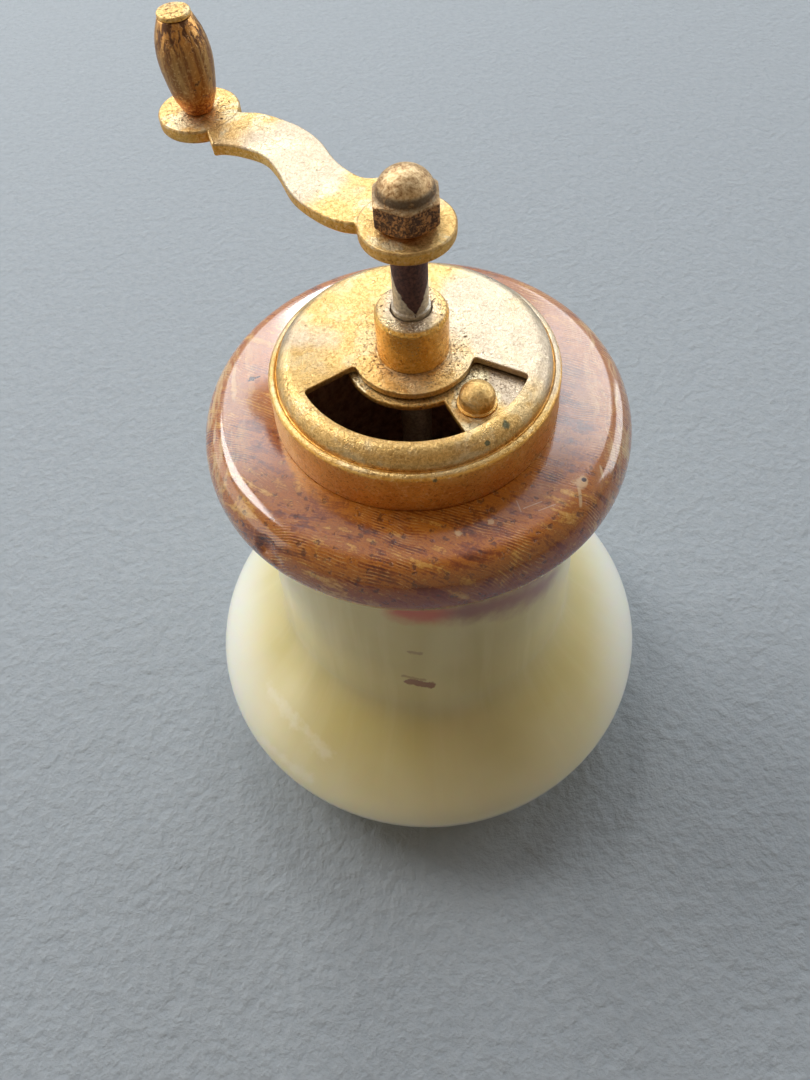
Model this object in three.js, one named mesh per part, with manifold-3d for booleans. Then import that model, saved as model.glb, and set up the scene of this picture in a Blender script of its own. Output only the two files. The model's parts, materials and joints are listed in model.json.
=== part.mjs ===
// A hand-cranked spice mill. A stone body and a stone flange stand on a flat foot, a metal cap with a
// sliding shutter closes the top, and a crank turns a spindle with a toothed cone at its lower end.
// Millimetres, +Z up. The origin is on the spindle's axis, in the plane that the foot stands on.
import * as THREE from "three";
import { mergeVertices } from "three/addons/utils/BufferGeometryUtils.js";
import Module from "manifold-3d";

const wasm = await Module();
wasm.setup();

// Clearances
const film = 0.05; // between flat faces that rest on each other
const fit = 0.3; // around a round or square piece in its hole
const runGap = 0.3; // above the shutter, so that it swings freely
const overrun = 1; // how far a cutting tool reaches past the face it cuts

// Numbers of steps around turned shapes
const largeSteps = 48;
const mediumSteps = 36;
const smallSteps = 20;
const curveSteps = 5;
const hexSides = 6;
const ballSides = 12;
const ballRings = 8;

// Stone body
const bodyHeight = 84.45;
const equatorRadius = 46.4;
const equatorHeight = 18.5;
const footRadius = 36.5;
const neckFootHeight = 41;
const neckFootWall = 8.6;
const neckTopWall = 6.5;
const footHandleShare = 0.55;
const bellyHandleShare = 0.25;
const flareLowHandleShare = 0.19;
const flareHighHandleShare = 0.32;

// Stone flange
const flangeRadius = 33.2;
const flangeThickness = 9.4;
const flangeRimHeightShare = 0.36;
const flangeLowRound = 2.6;
const flangeHighRound = 4.4;

// Hopper tube, which lines the bore and lines up the two stones
const tubeRadius = 20.2;
const tubeWall = 0.8;
const tubeTopDrop = 1.6;

// Cap
const capWall = 0.98;
const skirtHeight = 7.05;
const skirtTaper = 0.22;
const skirtEdgeRound = 0.75;
const skirtEdgeTurn = 80; // degrees
const ridgeInset = 1.05;
const ridgeWidth = 0.16;
const grooveWidth = 0.3;
const grooveDepth = 0.35;
const shoulderHeight = 2.51;
const shoulderRun = 2.5;
const capPlateThickness = 1;
const chamberWall = 1.73;
const chamberStep = 0.5;
const capLedgeDrop = 1.3;

// Window in the cap: a fan between two radii, with sides that meet a little behind the axis
const windowTurn = 1.5; // degrees
const windowHalfAngle = 60; // degrees
const windowApex = 2.3;
const windowCorner = 0.8;

// Shutter under the window
const shutterThickness = 1;
const shutterHubRadius = 9.75;
const hubOverlap = 1;
const vaneRun = 0.5;
const vaneOverlap = 1.3;
const vaneFrom = -66.5; // degrees
const vaneTo = 86; // degrees
const shutterKnobAngle = -49.5; // degrees
const shutterKnobRadiusShare = 0.5;
const shutterKnobRadius = 2.5;
const shutterKnobRim = 0.3;
const shutterKnobRimHeight = 0.25;
const shutterKnobNeck = 1.25;
const shutterKnobDome = 2.1;
const shutterRivetRadius = 1.1;
const shutterRivetHead = 1.8;
const shutterRivetHeadHeight = 0.4;
const retainerInset = 1.75;
const retainerThickness = 0.5;

// Bush that carries the spindle in the cap
const bushWall = 0.9;
const bushShoulder = 1.2;
const bushHeight = 7.44;
const bushBevelRun = 0.55;
const bushBevelRise = 0.75;
const bushPeen = 1;
const bushPeenHeight = 0.5;

// Spindle
const spindleRadius = 2.4;
const journalRadius = 2.7;
const journalAbove = 0.65;
const journalBelow = 1.5;
const spindleExposed = 11.45;
const squareShare = 1.36; // side of the square parts over the spindle's radius
const threadShare = 0.47; // radius of the threaded ends over that side

// Crank and its knob
const crankLength = 39.07;
const crankAngle = 135.88; // degrees
const crankThickness = 1.8;
const hubDiscRadius = 6.1;
const knobDiscRadius = 5.7;
const armHalfWidth = 5.8;
const knobHeight = 11.95;
const knobBellyRadius = 3.6;
const knobRivetRadius = 1.2;
const knobRivetHeadRadius = 2.2;
const knobRivetHeadHeight = 0.6;
const knobRivetFootRadius = 1.9;
const knobRivetFootHeight = 0.6;

// Edges of the crank arm, as shares of the crank's length and of the arm's half width
const nearEdgeShares = [
  [0.863, -0.56],
  [0.8, -0.82],
  [0.71, -0.96],
  [0.62, -1.01],
  [0.518, -0.9],
  [0.4, -0.6],
  [0.302, -0.5],
  [0.25, -0.58],
  [0.207, -0.88],
];
const farEdgeShares = [
  [0.104, 0.664],
  [0.17, 0.89],
  [0.265, 0.966],
  [0.386, 0.86],
  [0.523, 0.455],
  [0.618, 0.293],
  [0.708, 0.417],
  [0.765, 0.59],
  [0.795, 0.769],
];

// The crank knob's outline, as shares of its belly radius and of its height
const knobShares = [
  [0.55, 0],
  [0.68, 0.08],
  [0.83, 0.2],
  [0.95, 0.4],
  [1, 0.56],
  [0.97, 0.7],
  [0.86, 0.84],
  [0.63, 1],
];

// Domed nut that holds the crank
const nutAcross = 7.8;
const nutHexHeight = 3.5;
const nutFaceInset = 0.5;
const nutFaceHeight = 0.5;
const nutChamfer = 0.35;
const nutDomeInset = 0.35;
const nutDomeHeight = 2.9;
const nutThreadDepth = 5;

// Grinding cone, its nut, washer and spring
const coneHeight = 9;
const coneFootRadius = 9.1;
const coneHeadRadius = 4.7;
const coneTeeth = 16;
const coneTwist = 24; // degrees
const coneToothDepth = 0.8;
const burrNutAcross = 6.4;
const burrNutThickness = 2.3;
const spindleNib = 0.3;
const washerRadius = 4.6;
const washerThickness = 0.8;
const springWire = 0.9;
const springSpace = 0.75; // between the spindle and the inside of the coils
const springTurns = 5;
const springStepsPerTurn = 8;
const springSides = 5;

// Grinding ring and the housing that holds it
const grindGapFoot = 0.65;
const grindGapHead = 2.2;
const ringTeeth = 18;
const ringTwist = -16; // degrees
const ringToothDepth = 0.9;
const ringWall = 1.2;
const ringRise = 0.8;
const housingFlangeRadius = 27.2;
const housingFlangeThickness = 2.4;
const housingLip = 1.2;
const housingLipHeight = 1.4;
const housingFunnelHeight = 8.5;
const housingRim = 1.2;

// Spider that guides the spindle above the spring
const spiderThickness = 2;
const spiderHub = 2.8;
const spiderRim = 1.9;
const spiderLegs = 3;
const spiderLegWidth = 4;

// Bottom plate, its screws and the adjusting screw
const footClearance = 1;
const plateThickness = 2;
const plateLip = 0.6;
const strapWidth = 8;
const bossWall = 1.9;
const bossDrop = 2.8;
const plateScrewRadius = 1;
const plateScrewHead = 2;
const plateScrewHeadHeight = 1.2;
const plateScrewReach = 5.5;
const slotWidth = 0.8;
const slotDepthShare = 0.5;
const adjusterRadius = 2.5;
const adjusterHead = 4.8;
const adjusterHeadHeight = 2.1;
const adjusterHeadGap = 0.6;
const adjusterShank = 3.2;
const ballRadius = 1.6;

// Heights from the foot up
const bossBottom = footClearance + adjusterHeadHeight + adjusterHeadGap;
const plateBottom = bossBottom + bossDrop;
const plateTop = plateBottom + plateThickness;
const housingBottom = plateTop + film;
const housingFlangeTop = housingBottom + housingFlangeThickness;
const recessHeight = housingFlangeTop + film;
const adjusterTop = footClearance + adjusterHeadHeight + adjusterShank;
const ballBottom = adjusterTop + film;
const spindleBottom = ballBottom + 2 * ballRadius + film;
const burrNutBottom = spindleBottom + spindleNib;
const coneBottom = burrNutBottom + burrNutThickness + film;
const coneTop = coneBottom + coneHeight;
const washerBottom = coneTop + film;
const springBottom = washerBottom + washerThickness + film;
const ringBottom = plateTop + film;
const ringTop = coneTop + ringRise;
const throatBottom = ringTop + film;
const throatTop = throatBottom + housingLipHeight;
const housingTop = throatTop + housingFunnelHeight;
const spiderBottom = housingTop + film;
const springTop = spiderBottom - film;
const flangeBottom = bodyHeight + film;
const flangeTop = flangeBottom + flangeThickness;
const capBottom = flangeTop + film;
const lipHeight = capBottom + skirtHeight;
const capTop = lipHeight + shoulderHeight;
const capUnderside = capTop - capPlateThickness;
const shutterTop = capUnderside - runGap;
const shutterBottom = shutterTop - shutterThickness;
const retainerTop = shutterBottom - 2 * film;
const retainerBottom = retainerTop - retainerThickness;
const bushTop = capTop + film + bushHeight;
const crankBottom = bushTop + spindleExposed;
const crankTop = crankBottom + film + crankThickness;
const nutBottom = crankTop + film;
const hexBottom = nutBottom + nutFaceHeight;
const hexTop = hexBottom + nutHexHeight;

// Radii from the axis out
const tubeInner = tubeRadius - tubeWall;
const boreRadius = tubeRadius + fit;
const skirtRadius = boreRadius + capWall;
const ridgeRadius = skirtRadius - ridgeInset;
const chamberRadius = ridgeRadius - chamberWall;
const vaneRadius = chamberRadius - vaneRun;
const windowOuter = vaneRadius - vaneOverlap;
const windowInner = shutterHubRadius - hubOverlap;
const shutterKnobDistance = windowInner + shutterKnobRadiusShare * (windowOuter - windowInner);
const bushBore = journalRadius + fit;
const shankRadius = bushBore + bushWall;
const bushRadius = shankRadius + bushShoulder;
const shankHole = shankRadius + fit;
const squareSide = spindleRadius * squareShare;
const threadRadius = squareSide * threadShare;
const housingRadius = tubeInner - fit;
const neckTopRadius = boreRadius + neckTopWall;
const neckFootRadius = boreRadius + neckFootWall;
const ringFlare = (coneFootRadius + grindGapFoot - coneHeadRadius - grindGapHead) / coneHeight;
const ringFootRadius = coneFootRadius + grindGapFoot + ringFlare * (coneBottom - ringBottom);
const ringHeadRadius = ringFootRadius - ringFlare * (ringTop - ringBottom);
const ringRadius = ringFootRadius + ringToothDepth + ringWall;
const seatRadius = ringRadius + fit;
const screwCircle = (seatRadius + housingRadius) / 2;

const degrees = THREE.MathUtils.degToRad;

// A closed mesh as a solid that can be cut and joined
function solidOf(geometry) {
  const bare = geometry.clone();
  bare.deleteAttribute("normal");
  bare.deleteAttribute("uv");
  const merged = mergeVertices(bare);
  return new wasm.Manifold(
    new wasm.Mesh({
      numProp: 3,
      vertProperties: new Float32Array(merged.attributes.position.array),
      triVerts: new Uint32Array(merged.index.array),
    }),
  );
}

function geometryOf(solid) {
  const mesh = solid.getMesh();
  const geometry = new THREE.BufferGeometry();
  geometry.setAttribute("position", new THREE.BufferAttribute(mesh.vertProperties, 3));
  geometry.setIndex(new THREE.BufferAttribute(mesh.triVerts, 1));
  geometry.computeVertexNormals();
  return geometry;
}

// A shape turned about the Z axis. Its profile of [radius, height] runs up on the outside.
function turned(profile, steps) {
  const points = profile.map(([radius, height]) => new THREE.Vector2(radius, height));
  return new THREE.LatheGeometry(points, steps).rotateX(Math.PI / 2);
}

// A turned ring, whose profile closes on itself
function turnedRing(profile, steps) {
  return turned([...profile, profile[0]], steps);
}

function disc(radius, bottom, top, steps = smallSteps) {
  return turned(
    [
      [0, bottom],
      [radius, bottom],
      [radius, top],
      [0, top],
    ],
    steps,
  );
}

function prism(shape, bottom, top, curveSegments = smallSteps) {
  const options = { depth: top - bottom, bevelEnabled: false, curveSegments };
  return new THREE.ExtrudeGeometry(shape, options).translate(0, 0, bottom);
}

function block(width, depth, bottom, top) {
  return new THREE.BoxGeometry(width, depth, top - bottom).translate(0, 0, (bottom + top) / 2);
}

// A six-sided prism with one corner towards -Y
function hexPrism(across, bottom, top) {
  const corner = across / Math.sqrt(3);
  const upright = new THREE.CylinderGeometry(corner, corner, top - bottom, hexSides).rotateX(Math.PI / 2);
  return upright.translate(0, 0, (bottom + top) / 2);
}

// Points of an ellipse's arc about a centre, between two angles in degrees
function arcPoints(centreRadius, centreHeight, reach, rise, from, to) {
  return Array.from({ length: curveSteps + 1 }, (_, step) => {
    const angle = degrees(from + ((to - from) * step) / curveSteps);
    return [centreRadius + reach * Math.cos(angle), centreHeight + rise * Math.sin(angle)];
  });
}

// Points of a curve from its start, its two handles and its end
function bezierPoints(corners, steps) {
  const points = corners.map(([radius, height]) => new THREE.Vector2(radius, height));
  return new THREE.CubicBezierCurve(...points).getPoints(steps).map((point) => [point.x, point.y]);
}

// A surface through rings of points, each with as many points. The last ring joins the first.
function ringedGeometry(rings) {
  const count = rings[0].length;
  const positions = rings.flat().flatMap((point) => point.toArray());
  const indices = [];
  rings.forEach((_, ring) => {
    const next = (ring + 1) % rings.length;
    for (let side = 0; side < count; side++) {
      const beside = (side + 1) % count;
      const [a, b] = [ring * count + side, ring * count + beside];
      const [c, d] = [next * count + beside, next * count + side];
      indices.push(a, b, c, a, c, d);
    }
  });
  const geometry = new THREE.BufferGeometry();
  geometry.setAttribute("position", new THREE.Float32BufferAttribute(positions, 3));
  geometry.setIndex(indices);
  geometry.computeVertexNormals();
  return geometry;
}

// A tube of a few flat sides along points, closed at both ends
function tubeGeometry(points, radius, sides) {
  const positions = [];
  const indices = [];
  let across = new THREE.Vector3(1, 0, 0);
  points.forEach((point, index) => {
    const before = points[Math.max(index - 1, 0)];
    const after = points[Math.min(index + 1, points.length - 1)];
    const along = after.clone().sub(before).normalize();
    across = across.clone().addScaledVector(along, -across.dot(along)).normalize();
    const up = along.clone().cross(across);
    for (let side = 0; side < sides; side++) {
      const angle = (2 * Math.PI * side) / sides;
      const place = point.clone();
      place.addScaledVector(across, radius * Math.cos(angle));
      place.addScaledVector(up, radius * Math.sin(angle));
      positions.push(...place.toArray());
    }
  });
  for (let ring = 0; ring < points.length - 1; ring++) {
    for (let side = 0; side < sides; side++) {
      const beside = (side + 1) % sides;
      const [a, b] = [ring * sides + side, ring * sides + beside];
      indices.push(a, b, b + sides, a, b + sides, a + sides);
    }
  }
  const last = (points.length - 1) * sides;
  for (let side = 1; side < sides - 1; side++) {
    indices.push(0, side + 1, side);
    indices.push(last, last + side, last + side + 1);
  }
  const geometry = new THREE.BufferGeometry();
  geometry.setAttribute("position", new THREE.Float32BufferAttribute(positions, 3));
  geometry.setIndex(indices);
  geometry.computeVertexNormals();
  return geometry;
}

const finishes = {
  paleStone: { color: 0xcfc9a4, roughness: 0.18, metalness: 0 },
  brownStone: { color: 0x8a4f28, roughness: 0.16, metalness: 0 },
  gilt: { color: 0xd39a45, roughness: 0.32, metalness: 1 },
  wornGilt: { color: 0xb9874a, roughness: 0.45, metalness: 1 },
  nutMetal: { color: 0x8f7a58, roughness: 0.4, metalness: 1 },
  wornRod: { color: 0x7a6659, roughness: 0.5, metalness: 1 },
  tin: { color: 0x6d6a63, roughness: 0.5, metalness: 1 },
  castIron: { color: 0x4a4846, roughness: 0.65, metalness: 1 },
  steel: { color: 0x9a9c9f, roughness: 0.35, metalness: 1 },
};

const mill = new THREE.Group();
const crank = new THREE.Group();
crank.rotation.z = degrees(crankAngle);
mill.add(crank);

function addPiece(name, geometry, finish, group = mill) {
  const mesh = new THREE.Mesh(geometry, new THREE.MeshStandardMaterial(finishes[finish]));
  mesh.name = name;
  group.add(mesh);
  return mesh;
}

// Bell-shaped stone with a straight bore and a round recess in its foot
function stoneBody() {
  const flareHeight = neckFootHeight - equatorHeight;
  const neckSlope = (neckFootRadius - neckTopRadius) / (bodyHeight - neckFootHeight);
  const handle = flareHeight * flareHighHandleShare;
  const bellyCorners = [
    [footRadius, 0],
    [footRadius + (equatorRadius - footRadius) * footHandleShare, 0],
    [equatorRadius, equatorHeight * (1 - bellyHandleShare)],
    [equatorRadius, equatorHeight],
  ];
  const flareCorners = [
    [equatorRadius, equatorHeight],
    [equatorRadius, equatorHeight + flareHeight * flareLowHandleShare],
    [neckFootRadius + neckSlope * handle, neckFootHeight - handle],
    [neckFootRadius, neckFootHeight],
  ];
  const recessRadius = housingFlangeRadius + fit;
  return turnedRing(
    [
      [recessRadius, 0],
      ...bezierPoints(bellyCorners, curveSteps + 2),
      ...bezierPoints(flareCorners, 2 * curveSteps).slice(1),
      [neckTopRadius, bodyHeight],
      [boreRadius, bodyHeight],
      [boreRadius, recessHeight],
      [recessRadius, recessHeight],
    ],
    largeSteps,
  );
}

function stoneFlange() {
  const rimHeight = flangeBottom + flangeThickness * flangeRimHeightShare;
  const lowRise = rimHeight - flangeBottom;
  const highRise = flangeTop - rimHeight;
  return turnedRing(
    [
      [boreRadius, flangeBottom],
      ...arcPoints(flangeRadius - flangeLowRound, rimHeight, flangeLowRound, lowRise, -90, 0),
      ...arcPoints(flangeRadius - flangeHighRound, rimHeight, flangeHighRound, highRise, 0, 90).slice(1),
      [boreRadius, flangeTop],
    ],
    largeSteps,
  );
}

function hopperTube() {
  const bottom = housingFlangeTop + film;
  const top = lipHeight - tubeTopDrop;
  return turnedRing(
    [
      [tubeInner, bottom],
      [tubeRadius, bottom],
      [tubeRadius, top],
      [tubeInner, top],
    ],
    largeSteps,
  );
}

// Where a side of the window crosses a circle about the axis. Side is 1 on the right, -1 on the left.
function windowCornerAt(radius, side) {
  const half = degrees(windowHalfAngle);
  const reach = windowApex * Math.cos(half) + Math.sqrt(radius ** 2 - (windowApex * Math.sin(half)) ** 2);
  const corner = new THREE.Vector2(side * reach * Math.sin(half), windowApex - reach * Math.cos(half));
  return corner.rotateAround(new THREE.Vector2(), degrees(windowTurn));
}

function windowShape() {
  const [outerLeft, outerRight] = [-1, 1].map((side) => windowCornerAt(windowOuter, side));
  const [innerLeft, innerRight] = [-1, 1].map((side) => windowCornerAt(windowInner, side));
  const outerTurn = windowCorner / windowOuter;
  const innerTurn = windowCorner / windowInner;
  const towards = (from, to) => from.clone().add(to.clone().sub(from).setLength(windowCorner));
  const onCircle = (radius, angle) => new THREE.Vector2(radius * Math.cos(angle), radius * Math.sin(angle));
  const round = (corner, end) => shape.quadraticCurveTo(corner.x, corner.y, end.x, end.y);
  const shape = new THREE.Shape();
  const startAngle = outerLeft.angle() + outerTurn;
  const endAngle = outerRight.angle() - outerTurn;
  const start = onCircle(windowOuter, startAngle);
  shape.moveTo(start.x, start.y);
  shape.absarc(0, 0, windowOuter, startAngle, endAngle, false);
  round(outerRight, towards(outerRight, innerRight));
  const rightEnd = towards(innerRight, outerRight);
  shape.lineTo(rightEnd.x, rightEnd.y);
  round(innerRight, onCircle(windowInner, innerRight.angle() - innerTurn));
  shape.absarc(0, 0, windowInner, innerRight.angle() - innerTurn, innerLeft.angle() + innerTurn, true);
  round(innerLeft, towards(innerLeft, outerLeft));
  const leftEnd = towards(outerLeft, innerLeft);
  shape.lineTo(leftEnd.x, leftEnd.y);
  round(outerLeft, start);
  return shape;
}

function capShell() {
  const edgeBottom = lipHeight - skirtEdgeRound;
  const edgeReach = skirtRadius - skirtTaper - ridgeRadius;
  const shoulderFoot = ridgeRadius - ridgeWidth - grooveWidth;
  const shoulderBottom = lipHeight - grooveDepth;
  const shoulderTopRadius = shoulderFoot - shoulderRun;
  const ledge = lipHeight - capLedgeDrop;
  const shell = turnedRing(
    [
      [boreRadius, capBottom],
      [skirtRadius, capBottom],
      ...arcPoints(ridgeRadius, edgeBottom, edgeReach, skirtEdgeRound, 0, skirtEdgeTurn),
      [ridgeRadius, lipHeight],
      [ridgeRadius - ridgeWidth, shoulderBottom],
      ...arcPoints(shoulderTopRadius, shoulderBottom, shoulderRun, capTop - shoulderBottom, 0, 90),
      [shankHole, capTop],
      [shankHole, capUnderside],
      [chamberRadius - chamberStep, capUnderside],
      [chamberRadius, capUnderside - chamberStep],
      [chamberRadius, ledge],
      [boreRadius, ledge],
    ],
    largeSteps,
  );
  const window = prism(windowShape(), capUnderside - chamberStep, capTop + overrun, largeSteps / 2);
  return geometryOf(solidOf(shell).subtract(solidOf(window)));
}

function collarBush() {
  const bottom = retainerBottom - film - bushPeenHeight;
  return turnedRing(
    [
      [bushBore, bottom],
      [shankRadius + bushPeen, bottom],
      [shankRadius + bushPeen, bottom + bushPeenHeight],
      [shankRadius, bottom + bushPeenHeight],
      [shankRadius, capTop + film],
      [bushRadius, capTop + film],
      [bushRadius, bushTop - bushBevelRise],
      [bushRadius - bushBevelRun, bushTop],
      [bushBore, bushTop],
    ],
    mediumSteps,
  );
}

function shutterPlate() {
  const [from, to] = [degrees(vaneFrom), degrees(vaneTo)];
  const shape = new THREE.Shape();
  shape.absarc(0, 0, vaneRadius, from, to, false);
  shape.absarc(0, 0, shutterHubRadius, to, from + 2 * Math.PI, false);
  const plate = solidOf(prism(shape, shutterBottom, shutterTop, mediumSteps));
  const centre = disc(shankHole, shutterBottom - overrun, shutterTop + overrun, mediumSteps);
  const rivet = disc(shutterRivetRadius + fit, shutterBottom - overrun, shutterTop + overrun);
  const angle = degrees(shutterKnobAngle);
  rivet.translate(shutterKnobDistance * Math.cos(angle), shutterKnobDistance * Math.sin(angle), 0);
  return geometryOf(plate.subtract(solidOf(centre)).subtract(solidOf(rivet)));
}

// Domed knob, riveted through the shutter. Its heights are set from the shutter's top face.
function shutterKnob() {
  const seat = film;
  const rimTop = seat + shutterKnobRimHeight;
  const domeFoot = seat + shutterKnobNeck;
  const peenTop = -shutterThickness - film;
  return turned(
    [
      [0, peenTop - shutterRivetHeadHeight],
      [shutterRivetHead, peenTop - shutterRivetHeadHeight],
      [shutterRivetHead, peenTop],
      [shutterRivetRadius, peenTop],
      [shutterRivetRadius, seat],
      [shutterKnobRadius + shutterKnobRim, seat],
      [shutterKnobRadius + shutterKnobRim, rimTop],
      [shutterKnobRadius, rimTop],
      ...arcPoints(0, domeFoot, shutterKnobRadius, shutterKnobDome, 0, 90).slice(0, -1),
      [0, domeFoot + shutterKnobDome],
    ],
    smallSteps,
  );
}

function shutterRetainer() {
  const radius = shutterHubRadius - retainerInset;
  return turnedRing(
    [
      [shankHole, retainerBottom],
      [radius, retainerBottom],
      [radius, retainerTop],
      [shankHole, retainerTop],
    ],
    mediumSteps,
  );
}

// Spindle: a threaded foot, a square seat for the cone, a long round rod, a journal in the bush,
// a square seat for the crank and a threaded top
function spindle() {
  const roundBottom = coneTop + film;
  const journalBottom = retainerBottom - bushPeenHeight - journalBelow;
  const journalTop = bushTop + journalAbove;
  const rod = turned(
    [
      [0, roundBottom],
      [spindleRadius, roundBottom],
      [spindleRadius, journalBottom],
      [journalRadius, journalBottom],
      [journalRadius, journalTop],
      [spindleRadius, journalTop],
      [spindleRadius, crankBottom],
      [0, crankBottom],
    ],
    smallSteps,
  );
  const foot = disc(threadRadius, spindleBottom, coneBottom + overrun);
  const seat = block(squareSide, squareSide, coneBottom, roundBottom + overrun);
  const tang = block(squareSide, squareSide, crankBottom - overrun, crankTop).rotateZ(degrees(crankAngle));
  const head = disc(threadRadius, crankTop - overrun, nutBottom + nutThreadDepth - fit);
  const pieces = [foot, seat, tang, head].map(solidOf);
  return geometryOf(pieces.reduce((whole, piece) => whole.add(piece), solidOf(rod)));
}

// Flat crank: two discs joined by a wavy arm. It is built with its length along +X.
function crankArm() {
  const place = ([along, aside]) => new THREE.Vector2(along * crankLength, aside * armHalfWidth);
  const near = new THREE.SplineCurve(nearEdgeShares.map(place)).getPoints(4 * curveSteps);
  const far = new THREE.SplineCurve(farEdgeShares.map(place)).getPoints(4 * curveSteps);
  const arm = new THREE.Shape([new THREE.Vector2(crankLength, 0), ...near, new THREE.Vector2(0, 0), ...far]);
  const bottom = crankBottom + film;
  const hub = disc(hubDiscRadius, bottom, crankTop, mediumSteps);
  const end = disc(knobDiscRadius, bottom, crankTop, mediumSteps).translate(crankLength, 0, 0);
  const hole = block(squareSide + 2 * fit, squareSide + 2 * fit, bottom - overrun, crankTop + overrun);
  const rivetHole = disc(knobRivetRadius + fit, bottom - overrun, crankTop + overrun);
  rivetHole.translate(crankLength, 0, 0);
  const plate = solidOf(prism(arm, bottom, crankTop)).add(solidOf(hub)).add(solidOf(end));
  return geometryOf(plate.subtract(solidOf(hole)).subtract(solidOf(rivetHole)));
}

function crankKnob() {
  const bottom = crankTop + film;
  const bore = knobRivetRadius + fit;
  const outline = knobShares.map(([radius, height]) => {
    return [radius * knobBellyRadius, bottom + height * knobHeight];
  });
  return turnedRing([[bore, bottom], ...outline, [bore, bottom + knobHeight]], smallSteps);
}

function knobRivet() {
  const footTop = crankBottom;
  const headBottom = crankTop + film + knobHeight + film;
  return turned(
    [
      [0, footTop - knobRivetFootHeight],
      [knobRivetFootRadius, footTop - knobRivetFootHeight],
      [knobRivetFootRadius, footTop],
      [knobRivetRadius, footTop],
      [knobRivetRadius, headBottom],
      [knobRivetHeadRadius, headBottom],
      [knobRivetHeadRadius, headBottom + knobRivetHeadHeight],
      [0, headBottom + knobRivetHeadHeight],
    ],
    smallSteps,
  );
}

function acornNut() {
  const corner = nutAcross / Math.sqrt(3);
  const face = nutAcross / 2;
  const domeRadius = face - nutDomeInset;
  const envelope = turned(
    [
      [0, hexBottom],
      [face, hexBottom],
      [corner, hexBottom + nutChamfer],
      [corner, hexTop - nutChamfer],
      [face, hexTop],
      [0, hexTop],
    ],
    mediumSteps,
  );
  const hex = solidOf(hexPrism(nutAcross, hexBottom, hexTop)).intersect(solidOf(envelope));
  const washerFace = disc(face - nutFaceInset, nutBottom, hexBottom + nutChamfer);
  const dome = turned(
    [
      [0, hexTop - nutChamfer],
      ...arcPoints(0, hexTop, domeRadius, nutDomeHeight, 0, 90).slice(0, -1),
      [0, hexTop + nutDomeHeight],
    ],
    smallSteps,
  );
  const thread = disc(threadRadius + fit, nutBottom - overrun, nutBottom + nutThreadDepth);
  return geometryOf(hex.add(solidOf(washerFace)).add(solidOf(dome)).subtract(solidOf(thread)));
}

// Points of a toothed circle at one height, two for each tooth
function toothedRing(teeth, tip, root, height, turn) {
  return Array.from({ length: 2 * teeth }, (_, index) => {
    const radius = index % 2 ? root : tip;
    const angle = (Math.PI * index) / teeth + degrees(turn);
    return new THREE.Vector3(radius * Math.cos(angle), radius * Math.sin(angle), height);
  });
}

// As many points on a square about the axis, at one height
function squareRing(teeth, side, height) {
  return Array.from({ length: 2 * teeth }, (_, index) => {
    const angle = (Math.PI * index) / teeth;
    const reach = side / 2 / Math.max(Math.abs(Math.cos(angle)), Math.abs(Math.sin(angle)));
    return new THREE.Vector3(reach * Math.cos(angle), reach * Math.sin(angle), height);
  });
}

function coneBurr() {
  const bore = squareSide + 2 * fit;
  const outside = Array.from({ length: curveSteps }, (_, step) => {
    const share = step / (curveSteps - 1);
    const tip = THREE.MathUtils.lerp(coneFootRadius, coneHeadRadius, share);
    const height = coneBottom + coneHeight * share;
    return toothedRing(coneTeeth, tip, tip - coneToothDepth, height, coneTwist * share);
  });
  const inside = [coneTop, coneBottom].map((height) => squareRing(coneTeeth, bore, height));
  return ringedGeometry([...outside, ...inside]);
}

function ringBurr() {
  const inside = Array.from({ length: curveSteps }, (_, step) => {
    const share = step / (curveSteps - 1);
    const tip = THREE.MathUtils.lerp(ringHeadRadius, ringFootRadius, share);
    const height = THREE.MathUtils.lerp(ringTop, ringBottom, share);
    return toothedRing(ringTeeth, tip, tip + ringToothDepth, height, ringTwist * (1 - share));
  });
  const outside = [ringBottom, ringTop].map((height) => {
    return toothedRing(ringTeeth, ringRadius, ringRadius, height, 0);
  });
  return ringedGeometry([...outside, ...inside]);
}

function burrNut() {
  const top = burrNutBottom + burrNutThickness;
  const thread = disc(threadRadius + fit, burrNutBottom - overrun, top + overrun);
  return geometryOf(solidOf(hexPrism(burrNutAcross, burrNutBottom, top)).subtract(solidOf(thread)));
}

function springWasher() {
  const bore = spindleRadius + fit;
  return turnedRing(
    [
      [bore, washerBottom],
      [washerRadius, washerBottom],
      [washerRadius, washerBottom + washerThickness],
      [bore, washerBottom + washerThickness],
    ],
    smallSteps,
  );
}

// Centre line of the spring, with ends that stand square on what they meet
function springLine() {
  const radius = spindleRadius + springSpace + springWire / 2;
  const low = springBottom + springWire;
  const high = springTop - springWire;
  const steps = springTurns * springStepsPerTurn;
  const coil = Array.from({ length: steps + 1 }, (_, step) => {
    const angle = (2 * Math.PI * step) / springStepsPerTurn;
    const height = low + ((high - low) * step) / steps;
    return new THREE.Vector3(radius * Math.cos(angle), radius * Math.sin(angle), height);
  });
  return [new THREE.Vector3(radius, 0, springBottom), ...coil, new THREE.Vector3(radius, 0, springTop)];
}

// Least gap between the coils' surfaces, measured between points at least half a turn apart
function leastGap(points, diameter, apart) {
  let least = Infinity;
  points.forEach((point, index) => {
    points.slice(index + apart).forEach((other) => {
      least = Math.min(least, point.distanceTo(other) - diameter);
    });
  });
  return least;
}

function thrustSpring() {
  const line = springLine();
  const gap = leastGap(line, springWire, springStepsPerTurn / 2);
  console.log("thrust_spring: least gap between coils " + gap.toFixed(2) + " mm");
  return tubeGeometry(line, springWire / 2, springSides);
}

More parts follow.
